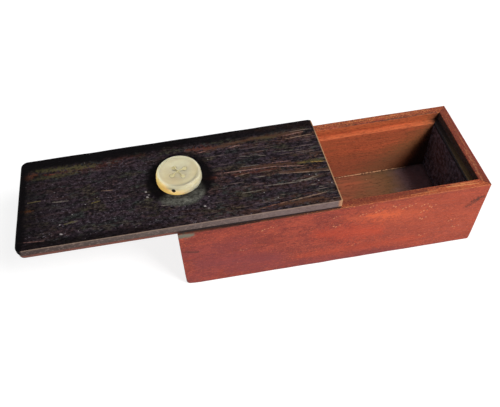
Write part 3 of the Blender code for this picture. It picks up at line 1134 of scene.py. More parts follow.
def front_streaks(carcass):
    """Marks on the front wall, in millimetres: stains, flecks, a brighter patch, a darker line along the foot
    and a painted shadow under the lid.
    """
    bright, plum = paint(196, 88, 54), paint(122, 54, 58)
    # The colour named gap is the painted shadow under the lid's front edge.
    gap, gold = paint(30, 17, 16), paint(204, 142, 100)
    # From (x, z) to (x, z), then the width, how broken up, the strength and the colour.
    marks = [
        (16.0, 16.0, 60.0, 10.0, 26.0, 0.0, 0.34, paint(190, 86, 54)),
        (4.0, 18.6, 24.0, 16.6, 7.5, 0.8, 0.4, bright),
        (-4.0, 13.6, 13.0, 11.0, 9.0, 0.7, 0.34, paint(198, 66, 34)),
        (-9.0, 5.0, 26.0, 5.0, 5.0, 0.7, 0.26, paint(198, 74, 38)),
        (-41.0, 4.0, -34.0, 3.0, 8.0, 0.6, 0.35, plum),
        (9.0, 18.4, 17.0, 17.2, 5.0, 0.9, 0.5, paint(214, 98, 56)),
        (-36.0, 9.0, -16.0, 6.0, 10.0, 0.4, 0.6, plum),
        (-30.0, 3.0, 20.0, 1.0, 4.0, 0.6, 0.35, plum),
        (-42.0, 0.2, 42.0, 0.2, 1.4, 0.3, 0.5, plum),
        (-41.0, 14.0, -24.0, 16.0, 9.0, 0.6, 0.4, plum),
        (36.4, 15.5, 39.9, 18.8, 2.2, 0.8, 0.55, carcass.grime_and_shade),
        (37.4, 17.4, 40.4, 18.9, 1.6, 0.8, 0.45, carcass.grime_and_shade),
        (-40.6, 15.6, -36.6, 14.6, 1.1, 0.7, 0.6, carcass.grime_and_shade),
        (-41.2, 22.4, -37.6, 22.2, 2.7, 0.6, 1.0, paint(106, 104, 90)),
        # Painted shadow under the lid's front edge, along the top of the front wall.
        (-41.4, 23.4, -20.0, 23.4, 1.0, 0.3, 0.95, gap),
        (-30.0, 23.4, 0.8, 23.4, 0.7, 0.3, 0.95, gap),
    ]
    flecks = (
        (11.8, 19.6, 0.4), (16.2, 20.6, 0.5), (19.1, 19.2, 0.5), (20.7, 20.0, 0.35), (24.2, 19.1, 0.5),
        (26.5, 18.1, 0.4), (24.5, 16.5, 0.45), (24.8, 13.5, 0.5), (33.6, 10.5, 0.5), (35.5, 7.3, 0.4),
        (0.4, 19.9, 0.35), (0.6, 16.1, 0.5), (-18.7, 19.5, 0.5), (-16.4, 20.1, 0.35), (7.5, 19.1, 0.4),
        (26.1, 5.7, 0.35), (9.9, 22.0, 0.4), (-24.6, 12.2, 0.3), (6.8, 6.4, 0.3),
    )
    for number, (x, z, width) in enumerate(flecks):
        way = 1.0 if number % 2 else -1.0
        marks += [
            (x - 0.9, z + 0.3 * way, x - 0.6, z + 0.1 * way, width * 0.9, 0.6, 0.8, gold),
            (x - 0.2, z - 0.4 * way, x, z - 0.1 * way, width * 0.8, 0.6, 0.8, gold),
            (x + 0.7, z + 0.4, x + 1.0, z + 0.3, width * 0.7, 0.6, 0.7, gold),
            (x + 0.1, z + 0.5 * way, x + 0.5, z + 0.2 * way, width, 0.3, 0.6, plum),
        ]
    return [((x0, FRONT_FACE, z0), (x1, FRONT_FACE, z1), *finish) for x0, z0, x1, z1, *finish in marks]


def rim_streaks(carcass):
    """Marks on the front and back rims, in millimetres."""
    pale = paint(206, 138, 88)
    # From (x, y) to (x, y), then the width, how broken up, the strength and the colour.
    marks = (
        (-2.0, -14.4, 24.0, -14.6, 2.4, 0.4, 0.7, paint(84, 34, 28)),
        (23.0, -14.0, 32.0, -14.2, 0.6, 0.8, 0.7, paint(70, 28, 22)),
        (29.6, -14.5, 38.2, -14.9, 0.45, 0.7, 0.9, pale),
        (31.0, -14.0, 37.6, -14.2, 0.3, 0.8, 0.7, pale),
        (20.0, -15.2, 27.0, -15.1, 0.3, 0.8, 0.5, pale),
        (10.0, 13.75, 38.4, 13.7, 0.3, 0.4, 0.8, carcass.grime_and_shade),
        (12.0, 15.0, 36.0, 15.2, 0.35, 0.9, 0.4, pale),
    )
    return [((x0, y0, RIM_TOP), (x1, y1, RIM_TOP), *finish) for x0, y0, x1, y1, *finish in marks]


def long_wall_painted_shade(nodes, colour, place, parts, inside, in_hollow):
    """Colour of a long wall's inside: darker and browner low down, and a near-black painted shadow of the
    closed end towards that end.
    """
    slope = nodes.minus(parts["X"], nodes.times(parts["Z"], 0.34))
    ragged = nodes.plus(slope, nodes.times(nodes.cloud(place, 0.5, 3.0, 0.6), 2.0))
    deep = nodes.times(nodes.outside(parts["Z"], 8.0, 15.0), in_hollow)
    colour = nodes.tint(colour, deep, 0.4, paint(112, 66, 52))
    # Painted shadow of the closed end on the wall: near black, its edge slanting like the light.
    darkening = nodes.times(nodes.fade(ragged, 28.9, 33.2), inside)
    return nodes.tint(colour, darkening, 0.92, paint(28, 24, 28))


def end_wall_painted_shade(nodes, colour, place, parts, chatter, on_rim, in_rebate, inside):
    """Colour of an end wall: painted shade over the closed end's inside, its ledge and its rebate face, and
    darker on its rim.
    """
    black = paint(26, 22, 25)
    # Painted shade: a mottled grey-violet over the inside of the closed end.
    shade_mottle = nodes.cloud(nodes.scaled(place, 0.75), 1.0, 4.0, 0.75)
    shade_mottle = nodes.mix(nodes.fade(shade_mottle, 0.4, 0.66), paint(52, 50, 62), paint(124, 124, 146))
    closed = nodes.times(nodes.fade(parts["X"], 30.0, 32.0), inside)
    colour = nodes.tint(colour, closed, 0.94, shade_mottle)
    dull = nodes.times(on_rim, nodes.fade(chatter["Z"], 0.2, 0.6))
    colour = nodes.tint(colour, dull, 0.85, paint(96, 42, 34))
    # Painted shade, near black, along the ledge's rounded edge.
    edge = nodes.times(nodes.fade(parts["Z"], 20.0, 20.4), nodes.outside(parts["Z"], 21.0, 21.1))
    colour = nodes.tint(colour, nodes.times(edge, closed), 0.9, black)
    # The ledge's colour is painted shade too: black near its edge, and lighter and browner towards the front.
    worn = nodes.mix(nodes.outside(parts["Y"], -10.0, 10.0), paint(52, 44, 44), paint(128, 104, 76))
    worn = nodes.mix(nodes.fade(parts["X"], 37.4, 37.8), black, worn)
    ledge = nodes.times(in_rebate, nodes.times(nodes.outside(parts["Z"], 20.95, 21.05), closed))
    colour = nodes.tint(colour, ledge, 0.9, worn)
    # Painted shade on the closed end's rebate face.
    face = nodes.times(nodes.times(nodes.fade(parts["Z"], 20.95, 21.3), closed), in_rebate)
    colour = nodes.tint(colour, face, 0.8, paint(78, 62, 50))
    pale = paint(190, 132, 96)
    return add_streaks(nodes, colour, place, (
        ((39.6, -14.0, RIM_TOP), (39.8, -2.0, RIM_TOP), 0.6, 1.0, 0.35, pale),
        ((40.3, -9.0, RIM_TOP), (40.4, 6.0, RIM_TOP), 0.5, 0.8, 0.2, pale),
        ((40.9, -15.0, RIM_TOP), (41.0, 15.0, RIM_TOP), 0.8, 0.5, 0.6, paint(112, 44, 44)),
    ))


def mahogany_material(name, carcass, grain_axis):
    """Polished mahogany of the walls: red outside, duller on the rims, bare in the rebate and inside, with
    painted penumbra and painted shade inside towards the closed end.
    """
    material, nodes, shader, place = new_material(name)
    parts = nodes.split(place)
    along, seed = place, 0.0
    if grain_axis == "Y":
        along, seed = nodes.combine(parts["Y"], parts["X"], parts["Z"]), 37.0
    grain = nodes.group("Wood Grain", vector=along, figure_width=2.2, fibre_width=0.24,
                        pore_width=0.14, waviness=1.6, seed=seed)
    chatter = nodes.hues(nodes.stretch(along, (0.7, 2.6, 2.6)), 3.0, 0.75)
    chips = nodes.hues(nodes.stretch(along, (1.9, 4.4, 4.4)), 2.0, 0.7)
    mottle = nodes.hues(nodes.stretch(along, (0.16, 0.34, 0.34)), 4.0, 0.65)

    near = 0.06 * MM
    half_x, half_y, top = BOX_LENGTH / 2, BOX_WIDTH / 2, BOX_HEIGHT
    inner_x, inner_y = half_x - carcass.rim + near, half_y - carcass.rim + near
    hollow_x, hollow_y = half_x - carcass.wall + near, half_y - carcass.wall + near
    on_rim = region(nodes, place, (-FAR, -FAR, top - 0.25 * MM), (FAR, FAR, FAR), 0.2)
    in_rebate = region(nodes, place, (-FAR, -inner_y, carcass.ledge - 0.4 * MM),
                       (inner_x, inner_y, top - 0.15 * MM), 0.1)
    in_hollow = region(nodes, place, (-hollow_x, -hollow_y, -FAR),
                       (hollow_x, hollow_y, carcass.ledge - 0.1 * MM), 0.15)
    inside = nodes.most(in_hollow, in_rebate)

    outside = mahogany_colour(nodes, grain, carcass.face, carcass.face_dark, carcass.pore, 0.3)
    outside = nodes.patches(outside, (
        (chatter["X"], 0.5, 0.66, 0.4, carcass.face_dark),
        (chatter["Y"], 0.54, 0.7, 0.35, paint(186, 92, 60)),
        (chips["X"], 0.52, 0.64, 0.6, paint(98, 38, 34)),
        (chips["Y"], 0.53, 0.66, 0.5, paint(204, 100, 66)),
    ))
    rim = mahogany_colour(nodes, grain, carcass.rim_wood, carcass.rim_dark, carcass.pore, 0.3)
    rim = nodes.patches(rim, (
        (chatter["X"], 0.48, 0.62, 0.8, carcass.rim_dark),
        (chatter["Y"], 0.52, 0.66, 0.6, paint(200, 118, 66)),
        (chips["Z"], 0.5, 0.62, 0.55, paint(78, 32, 24)),
        (chips["Y"], 0.53, 0.63, 0.6, paint(216, 138, 84)),
    ))
    colour = nodes.patches(nodes.mix(on_rim, outside, rim), (
        (mottle["X"], 0.48, 0.66, 0.5, carcass.face_dark),
        (mottle["Y"], 0.5, 0.68, 0.4, paint(176, 76, 54)),
    ))
    fresh = mahogany_colour(nodes, grain, carcass.fresh, carcass.rim_wood, carcass.rim_dark)
    fresh = nodes.patches(fresh, ((chatter["Z"], 0.52, 0.7, 0.5, carcass.rim_dark),))
    colour = nodes.mix(in_rebate, colour, fresh)
    bare = mahogany_colour(nodes, grain, carcass.inner, carcass.inner_dark, carcass.pore, 0.45)
    bare = nodes.patches(bare, (
        (chips["X"], 0.5, 0.62, 0.34, paint(104, 52, 34)),
        (chips["Y"], 0.52, 0.64, 0.4, paint(206, 108, 64)),
    ))
    colour = nodes.mix(in_hollow, colour, bare)

    # Painted penumbra: an olive band inside the box along the edge of the closed end's shadow.
    slope = nodes.minus(parts["X"], nodes.times(parts["Z"], 1.3))
    ragged = nodes.plus(slope, nodes.times(nodes.minus(chatter["Y"], 0.5), 16.0))
    olive = nodes.times(nodes.fade(ragged, 2.5, 15.0), inside)
    colour = nodes.tint(colour, olive, 0.62, paint(104, 80, 48))
    if grain_axis == "X":
        colour = long_wall_painted_shade(nodes, colour, place, parts, inside, in_hollow)
    else:
        colour = end_wall_painted_shade(nodes, colour, place, parts, chatter, on_rim, in_rebate, inside)
    wear = nodes.group("Edge Band", vector=place, low=mm(-half_x, -half_y, 0), high=mm(half_x, half_y, top),
                       width=0.45)["Band"]
    colour = nodes.tint(colour, wear, 0.3, paint(182, 112, 78))
    if grain_axis == "X":
        colour = add_streaks(nodes, colour, place, front_streaks(carcass) + rim_streaks(carcass))
    specks = nodes.group("Specks", vector=place, spacing=1.9, size=0.12, share=0.12)["Mask"]
    colour = nodes.tint(colour, specks, 0.35, carcass.fleck)
    satin = nodes.between(grain["Fibre"], 0.46, 0.6)
    rough = nodes.plus(satin, nodes.times(inside, 0.25))
    return finished(material, nodes, shader, colour, rough, WOOD_GLOSS, grain["Height"], 0.05 * MM)


def floor_material(carcass):
    """Bare mahogany of the floor, darker and dirtier than the walls, with painted shade towards the closed end
    and in the corners where it meets the walls.
    """
    material, nodes, shader, place = new_material("floor_mahogany")
    grain = nodes.group("Wood Grain", vector=place, figure_width=3.0, fibre_width=0.35, pore_width=0.2,
                        waviness=1.0, seed=91.0)
    colour = mahogany_colour(nodes, grain, paint(146, 76, 52), paint(104, 62, 44), carcass.pore)
    stain = nodes.times(nodes.fade(nodes.cloud(place, 0.12, 3.0, 0.6), 0.44, 0.7), 0.5)
    # Painted penumbra and shade towards the closed end: olive, then grey-violet.
    ragged = nodes.plus(nodes.split(place)["X"], nodes.times(nodes.cloud(place, 0.2, 3.0, 0.6), 8.0))
    colour = nodes.tint(colour, nodes.most(stain, nodes.fade(ragged, 14.0, 30.0)), 0.75, paint(84, 68, 44))
    colour = nodes.patches(colour, ((ragged, 27.0, 39.0, 0.8, paint(128, 104, 116)),))
    # Painted shade in the corners where the floor meets the walls.
    edge = nodes.group("Edge Band", vector=place, low=mm(*FLOOR_LOW), high=mm(*FLOOR_HIGH),
                       width=1.4)["Band"]
    colour = nodes.tint(colour, edge, 0.6, carcass.grime_and_shade)
    dust = paint(206, 152, 112)
    colour = add_streaks(nodes, colour, place, (
        ((7.0, 11.45, FLOOR_TOP), (31.5, 11.55, FLOOR_TOP), 0.42, 1.0, 0.9, dust),
        ((-6.0, 11.4, FLOOR_TOP), (8.0, 11.45, FLOOR_TOP), 0.3, 1.0, 0.6, dust),
    ))
    specks = nodes.group("Specks", vector=place, spacing=1.4, size=0.16, share=0.24)["Mask"]
    colour = nodes.tint(colour, specks, 0.5, dust)
    rough = nodes.between(grain["Fibre"], 0.62, 0.8)
    return finished(material, nodes, shader, colour, rough, WOOD_GLOSS, grain["Height"], 0.08 * MM)


def lining_material(carcass):
    """Mahogany of the lid's lining: dull on its edges, painted shade near black where it lies over the box,
    rubbed on the tongue.
    """
    material, nodes, shader, place = new_material("lining_mahogany")
    grain = nodes.group("Wood Grain", vector=place, figure_width=2.0, fibre_width=0.28, pore_width=0.15,
                        waviness=1.0, seed=53.0)
    colour = mahogany_colour(nodes, grain, paint(106, 71, 65), paint(72, 49, 45), carcass.pore)
    parts = nodes.split(place)
    # Painted shade: the flange turns near black where it lies over the box, under the plate's edge.
    over_box = nodes.times(nodes.fade(parts["X"], -43.0, -40.0), nodes.fade(parts["Z"], 23.3, 23.6))
    shade_over_box = nodes.mix(nodes.fade(parts["X"], -30.0, 0.0), paint(22, 14, 14), paint(34, 19, 17))
    tongue = nodes.outside(parts["Z"], 23.3, 23.5)
    rubbed = mahogany_colour(nodes, grain, carcass.inner, carcass.rim_dark, carcass.pore)
    colour = nodes.tint(colour, tongue, 0.8, rubbed)
    wear = nodes.group("Edge Band", vector=place, low=mm(*LINING_LOW), high=mm(*LINING_HIGH),
                       width=0.4)["Band"]
    colour = nodes.tint(colour, wear, 0.25, carcass.fresh)
    colour = nodes.tint(colour, over_box, 0.97, shade_over_box)
    rough = nodes.between(grain["Fibre"], 0.5, 0.65)
    return finished(material, nodes, shader, colour, rough, WOOD_GLOSS, grain["Height"], 0.06 * MM)


def lid_streaks(lid):
    """Pale and coloured lines of the lid's figure, and old marks on it, in millimetres."""
    pink, grey, gold = paint(150, 112, 104), paint(118, 110, 100), paint(158, 126, 70)
    olive, rust, brown = paint(74, 70, 44), paint(98, 54, 42), paint(82, 56, 42)
    dusty = paint(168, 160, 158)
    # From (x, y) to (x, y), then the width, how broken up, the strength and the colour.
    lines = (
        # Bands and patches.
        (-35.5, 10.4, -27.8, 9.9, 2.4, 0.8, 0.5, rust), (-30.8, 9.3, -17.8, 10.9, 1.8, 0.5, 0.6, brown),
        (-17.8, 11.0, -3.0, 10.9, 2.4, 0.5, 0.6, brown), (-16.6, 11.0, -10.2, 10.4, 1.6, 0.7, 0.32, olive),
        (-22.0, 0.5, -6.0, -0.6, 1.6, 0.5, 0.6, brown), (-6.6, -0.9, 0.6, -0.6, 1.4, 0.5, 0.6, olive),
        (-24.5, -1.6, -12.0, -1.6, 1.3, 0.7, 0.38, rust), (-12.1, -3.2, 0.7, -4.6, 1.3, 0.5, 0.65, brown),
        (-14.4, -14.2, -3.2, -14.0, 1.5, 0.4, 0.7, brown), (-32.1, -1.3, -29.0, -1.5, 1.8, 0.5, 0.5, rust),
        (-80.4, 9.2, -77.2, 10.0, 2.8, 0.8, 0.5, paint(112, 66, 44)),
        (-74.0, 9.2, -54.0, 9.9, 3.6, 1.0, 0.22, rust), (-76.9, 11.3, -61.2, 9.9, 3.2, 1.0, 0.7, olive),
        (-80.8, -3.1, -77.8, -3.2, 2.0, 0.8, 0.5, paint(108, 70, 44)),
        (-78.0, 8.0, -66.0, 8.4, 1.8, 1.0, 0.4, olive), (-56.0, 11.2, -47.0, 11.4, 2.4, 1.0, 0.2, rust),
        (-70.1, -12.4, -69.7, -12.6, 0.6, 0.3, 0.7, dusty), (-70.4, -9.4, -70.2, -9.4, 0.45, 0.3, 0.7, dusty),
        (-47.9, -2.7, -47.6, -2.8, 0.6, 0.3, 0.9, dusty), (-47.2, -3.9, -46.9, -4.0, 0.5, 0.3, 0.9, dusty),
        (-47.8, -4.5, -47.3, -4.7, 0.5, 0.3, 0.8, dusty), (-33.3, -10.7, -33.0, -10.8, 0.6, 0.3, 0.9, dusty),
        (-32.5, -11.6, -32.1, -11.6, 0.45, 0.3, 0.45, dusty), (-44.2, -8.3, -41.4, -8.5, 0.3, 0.3, 0.8, grey),
        # Thin lines along the grain.
        (-8.3, 10.3, -2.5, 10.9, 0.3, 0.4, 0.8, pink), (-8.0, 9.0, -0.4, 9.4, 0.34, 0.3, 0.9, lid.tan),
        (-24.0, 8.9, -20.6, 9.4, 0.3, 0.4, 0.8, pink), (-21.6, 5.0, -18.8, 4.4, 0.26, 0.5, 0.8, grey),
        (-16.4, 4.2, -14.5, 3.8, 0.26, 0.4, 0.8, grey), (-12.5, 4.6, -4.4, 4.1, 0.3, 0.9, 0.7, grey),
        (-6.0, -0.9, -4.3, -0.9, 0.5, 0.8, 0.25, gold), (-3.4, -1.1, 0.8, -1.6, 0.5, 0.6, 0.7, gold),
        (-26.6, -0.3, -13.2, -0.7, 0.32, 0.4, 0.85, pink), (-13.2, -0.7, -5.5, -2.1, 0.3, 0.4, 0.85, pink),
        (-21.6, 0.9, -17.1, 0.8, 0.3, 0.5, 0.8, grey), (-13.3, 0.8, -8.4, 0.4, 0.3, 0.5, 0.8, pink),
        (-24.0, -2.3, -20.1, -1.6, 0.3, 0.5, 0.8, lid.tan), (-12.1, -3.7, 0.7, -5.1, 0.34, 0.5, 0.9, lid.tan),
        (-18.8, -3.6, -16.2, -3.7, 0.28, 0.4, 0.8, grey), (-17.3, -7.1, -7.6, -7.5, 0.34, 0.5, 0.85, grey),
        (-7.6, -7.4, -2.4, -6.3, 0.5, 0.7, 0.85, grey), (-9.6, -6.8, -3.4, -7.4, 0.7, 0.9, 0.6, grey),
        (-23.7, -8.4, -17.4, -8.3, 0.3, 0.6, 0.8, grey), (-5.0, -9.1, -3.8, -9.2, 0.3, 0.3, 0.8, grey),
        (-3.2, -10.2, -2.0, -10.3, 0.3, 0.3, 0.8, grey), (-22.1, -14.9, -9.0, -13.1, 0.32, 0.6, 0.7, brown),
        (-11.0, -13.4, -2.0, -12.4, 0.45, 0.7, 0.85, lid.tan),
        (-19.6, -14.4, -10.4, -13.3, 0.45, 0.8, 0.8, rust), (-16.5, -14.0, -8.0, -13.0, 0.3, 0.9, 0.7, lid.tan),
        (-75.8, 9.5, -72.1, 8.9, 0.3, 0.9, 0.5, paint(132, 44, 38)),
        (-78.9, -0.2, -75.6, -0.1, 0.5, 0.5, 0.8, paint(120, 108, 74)),
        (-59.5, 0.1, -56.4, -0.2, 0.36, 0.4, 0.8, lid.tan),
        (-62.0, -3.7, -59.9, -3.4, 0.5, 0.5, 0.8, paint(104, 92, 56)),
        (-69.0, -9.4, -65.9, -9.0, 0.7, 0.6, 0.8, paint(92, 86, 62)),
        (-80.8, -13.2, -74.1, -13.8, 0.3, 0.6, 0.7, pink), (-74.0, -1.1, -68.2, -1.6, 0.5, 0.9, 0.6, grey),
        (-32.5, 8.8, -30.5, 8.9, 0.3, 0.4, 0.8, pink),
    )
    return [((x0, y0, LID_TOP), (x1, y1, LID_TOP), width * 0.95, 0.35 + 0.65 * broken, strength, tint)
            for x0, y0, x1, y1, width, broken, strength, tint in lines]


def striped_colour(nodes, place, parts, grain, lid, broad, fine, to_right):
    """Figure of the dark wood: bands, plum and brown haze, soot, grit and pale lines."""
    colour = nodes.mix(grain["Fibre"], paint(14, 10, 13), lid.wood)
    band = nodes.times(nodes.fade(grain["Figure"], 0.5, 0.95), nodes.between(to_right, 0.2, 0.75))
    colour = nodes.mix(band, colour, lid.band)
    haze = nodes.patches(lid.plum, ((broad["X"], 0.5, 0.6, 0.9, paint(56, 62, 58)),))
    brown = nodes.times(nodes.fade(broad["Y"], 0.52, 0.62), nodes.between(to_right, 0.3, 0.85))
    haze = nodes.mix(brown, haze, paint(88, 60, 46))
    haze = nodes.patches(haze, ((broad["Z"], 0.54, 0.64, 0.6, paint(72, 68, 44)),))
    strength = nodes.between(nodes.fade(parts["X"], -80.0, -60.0), 0.42, 0.75)
    colour = nodes.mix(nodes.times(nodes.fade(fine["X"], 0.4, 0.62), strength), colour, haze)
    darkening = nodes.cloud(nodes.stretch(place, (0.85, 1.25, 1.25)), 1.0, 3.0, 0.75)
    colour = nodes.patches(colour, ((darkening, 0.46, 0.6, 0.8, lid.near_black),))
    grit = nodes.fade(nodes.cloud(nodes.stretch(place, (1.3, 1.8, 1.8)), 1.0, 3.0, 0.8), 0.57, 0.72)
    grit = nodes.times(grit, nodes.between(nodes.fade(broad["Z"], 0.42, 0.58), 1.0, 0.35))
    grit = nodes.times(grit, nodes.between(to_right, 1.0, 0.5))
    colour = nodes.tint(colour, grit, 0.8, paint(110, 102, 110))
    lines = nodes.cloud(nodes.stretch(place, (0.09, 3.6, 3.6)), 1.0, 3.0, 0.7)
    lines = nodes.times(nodes.fade(lines, 0.59, 0.73), nodes.between(to_right, 0.18, 0.95))
    return nodes.mix(lines, colour, paint(134, 116, 108))


def glue_smear(nodes, place, patchy, fine, lid, colour):
    """The dark ring round the button and the old glue in front of it: the colour and the glue's mask."""
    offset = nodes.vector("SUBTRACT", place, mm(BUTTON_CENTRE.x, BUTTON_CENTRE.y, PLATE_HIGH.z))
    away = nodes.vector("LENGTH", offset)
    uneven = nodes.minus(patchy["X"], 0.5)
    ring = nodes.outside(nodes.plus(away, nodes.times(uneven, 3.0)), 8.0, 10.4)
    colour = nodes.tint(colour, ring, 0.95, lid.near_black)
    facing = nodes.over(nodes.vector("DOT_PRODUCT", offset, (0.2, -0.98, 0.0)), away)
    reach = nodes.plus(away, nodes.times(uneven, 1.6))
    smear = nodes.times(nodes.outside(reach, 8.7, 10.2), nodes.fade(facing, 0.5, 0.86))
    smear = nodes.times(smear, nodes.outside(nodes.split(offset)["X"], 4.6, 6.8))
    smear = nodes.times(smear, nodes.between(nodes.fade(away, 6.6, 8.6), 0.5, 1.0))
    texture = nodes.times(nodes.fade(patchy["Y"], 0.32, 0.62), nodes.fade(fine["Z"], 0.3, 0.6))
    texture = nodes.between(texture, 0.2, 1.0)
    return nodes.tint(colour, nodes.times(smear, texture), 0.82, lid.smear), smear


def dark_edges(nodes, place, parts, low, high):
    """Where the lid is blackened: its left end, its back and, drawn out, its front. The black is partly wear
    from hands and partly painted shade where the rounded edges turn from the light.
    """
    blurred = nodes.times(nodes.minus(nodes.cloud(place, 0.35, 4.0, 0.65), 0.5), 2.4)
    from_left = nodes.plus(nodes.minus(parts["X"], low[0]), blurred)
    from_back = nodes.plus(nodes.minus(high[1], parts["Y"]), blurred)
    drawn_out = nodes.outside(parts["X"], -54.0, -36.0)
    from_back = nodes.minus(from_back, nodes.times(drawn_out, 0.7))
    from_front = nodes.minus(parts["Y"], low[1])
    from_front = nodes.minus(from_front, nodes.times(drawn_out, 0.9))
    near_black = nodes.outside(nodes.least(nodes.plus(from_left, 0.9), from_back), 2.4, 4.8)
    front = nodes.times(nodes.outside(from_front, 0.5, 2.0), nodes.between(drawn_out, 0.08, 0.8))
    return nodes.most(nodes.most(near_black, front), nodes.times(nodes.outside(from_left, 3.6, 9.5), 0.42))


def side_distances(nodes, parts, lid, low, high):
    """Distances inside the plate's plan: from its slanted inner end, and from its nearest side."""
    middle = (low[1] + high[1]) / 2
    slant = lid.end_slant / MM / (high[1] - low[1])
    end = nodes.minus(high[0] + lid.end_reach / MM + slant * high[1], nodes.times(parts["Y"], slant))
    from_right = nodes.minus(end, parts["X"])
    side_x = nodes.least(nodes.minus(parts["X"], low[0]), from_right)
    side_y = nodes.minus(high[1] - middle, nodes.math("ABSOLUTE", nodes.minus(parts["Y"], middle)))
    return from_right, nodes.least(side_x, side_y)


def dark_wood_material(lid):
    """Near-black striped wood of the lid's plate, blackened at its edges partly by handling and partly as
    painted shade, and dusty on its sides.
    """
    material, nodes, shader, place = new_material("dark_striped_wood")
    low, high = mm(PLATE_LOW.x, PLATE_LOW.y - lid.front_overhang, LINING_TOP), mm(*PLATE_HIGH)
    grain = nodes.group("Wood Grain", vector=place, figure_width=1.7, fibre_width=0.28, pore_width=0.16,
                        waviness=3.0, seed=11.0)
    parts = nodes.split(place)
    broad = nodes.hues(nodes.stretch(place, (0.13, 0.3, 0.3)), 3.0, 0.6)
    fine = nodes.hues(nodes.stretch(place, (1.0, 1.5, 1.5)), 3.0, 0.75)
    patchy = nodes.hues(nodes.scaled(place, 0.55), 4.0, 0.7)
    to_right = nodes.fade(parts["X"], -46.0, -4.0)
    colour = striped_colour(nodes, place, parts, grain, lid, broad, fine, to_right)
    colour = add_streaks(nodes, colour, place, lid_streaks(lid))
    colour, smear = glue_smear(nodes, place, patchy, fine, lid, colour)
    specks = nodes.group("Specks", vector=place, spacing=1.6, size=0.2, share=0.24)["Mask"]
    colour = nodes.tint(colour, specks, 0.75, paint(160, 154, 152))
    # Blackened edges: partly handling, partly painted shade.
    near_black = nodes.times(dark_edges(nodes, place, parts, low, high), nodes.between(to_right, 0.96, 0.8))
    colour = nodes.mix(near_black, colour, lid.near_black)

    from_right, inward = side_distances(nodes, parts, lid, low, high)
    on_side = nodes.outside(inward, 0.06, 0.16)
    dusty = nodes.mix(grain["Fibre"], paint(82, 72, 68), lid.side)
    dusty = nodes.tint(dusty, nodes.outside(parts["X"], -82.0, -46.0), 0.75, paint(60, 48, 46))
    dusty = nodes.patches(dusty, (
        (parts["X"], -50.0, -8.0, 0.6, paint(122, 103, 102)),
        (patchy["Z"], 0.48, 0.6, 0.35, paint(76, 62, 58)),
        (fine["Y"], 0.52, 0.62, 0.4, paint(140, 120, 112)),
        (parts["Z"], high[2] - 0.5, high[2] - 0.2, 0.45, paint(150, 126, 108)),
    ))
    dusty = nodes.tint(dusty, nodes.outside(from_right, 0.5, 1.3), 0.7, paint(190, 132, 94))
    colour = nodes.mix(on_side, colour, dusty)
    ragged = nodes.fade(nodes.cloud(place, 0.35, 3.0, 0.6), 0.28, 0.46)
    worn = nodes.times(nodes.outside(from_right, 0.24, 0.42), ragged)
    colour = nodes.tint(colour, worn, 0.75, paint(166, 128, 94))
    dull = nodes.times(nodes.plus(smear, on_side), 0.2)
    rough = nodes.plus(nodes.between(grain["Fibre"], 0.5, 0.64), dull)
    return finished(material, nodes, shader, colour, rough, 0.02, grain["Height"], 0.05 * MM)


def shell_glow(nodes, offset, parts, away, pit):
    """Where a painted glow stands for light that comes through the shell: low on its shaded side and round its
    left edge.
    """
    low = nodes.times(nodes.outside(parts["Z"], -1.9, -0.6), nodes.fade(away, 5.2, 5.8))
    ahead = nodes.over(nodes.vector("DOT_PRODUCT", offset, (-0.86, -0.5, 0.0)), away)
    ahead = nodes.times(nodes.fade(ahead, -0.1, 0.9), low)
    left = nodes.over(nodes.vector("DOT_PRODUCT", offset, (-0.98, -0.2, 0.0)), away)
    left = nodes.times(nodes.fade(left, 0.55, 0.95), nodes.fade(away, 5.4, 5.9))
    return nodes.times(nodes.most(ahead, nodes.times(left, 0.8)), nodes.minus(1.0, pit))


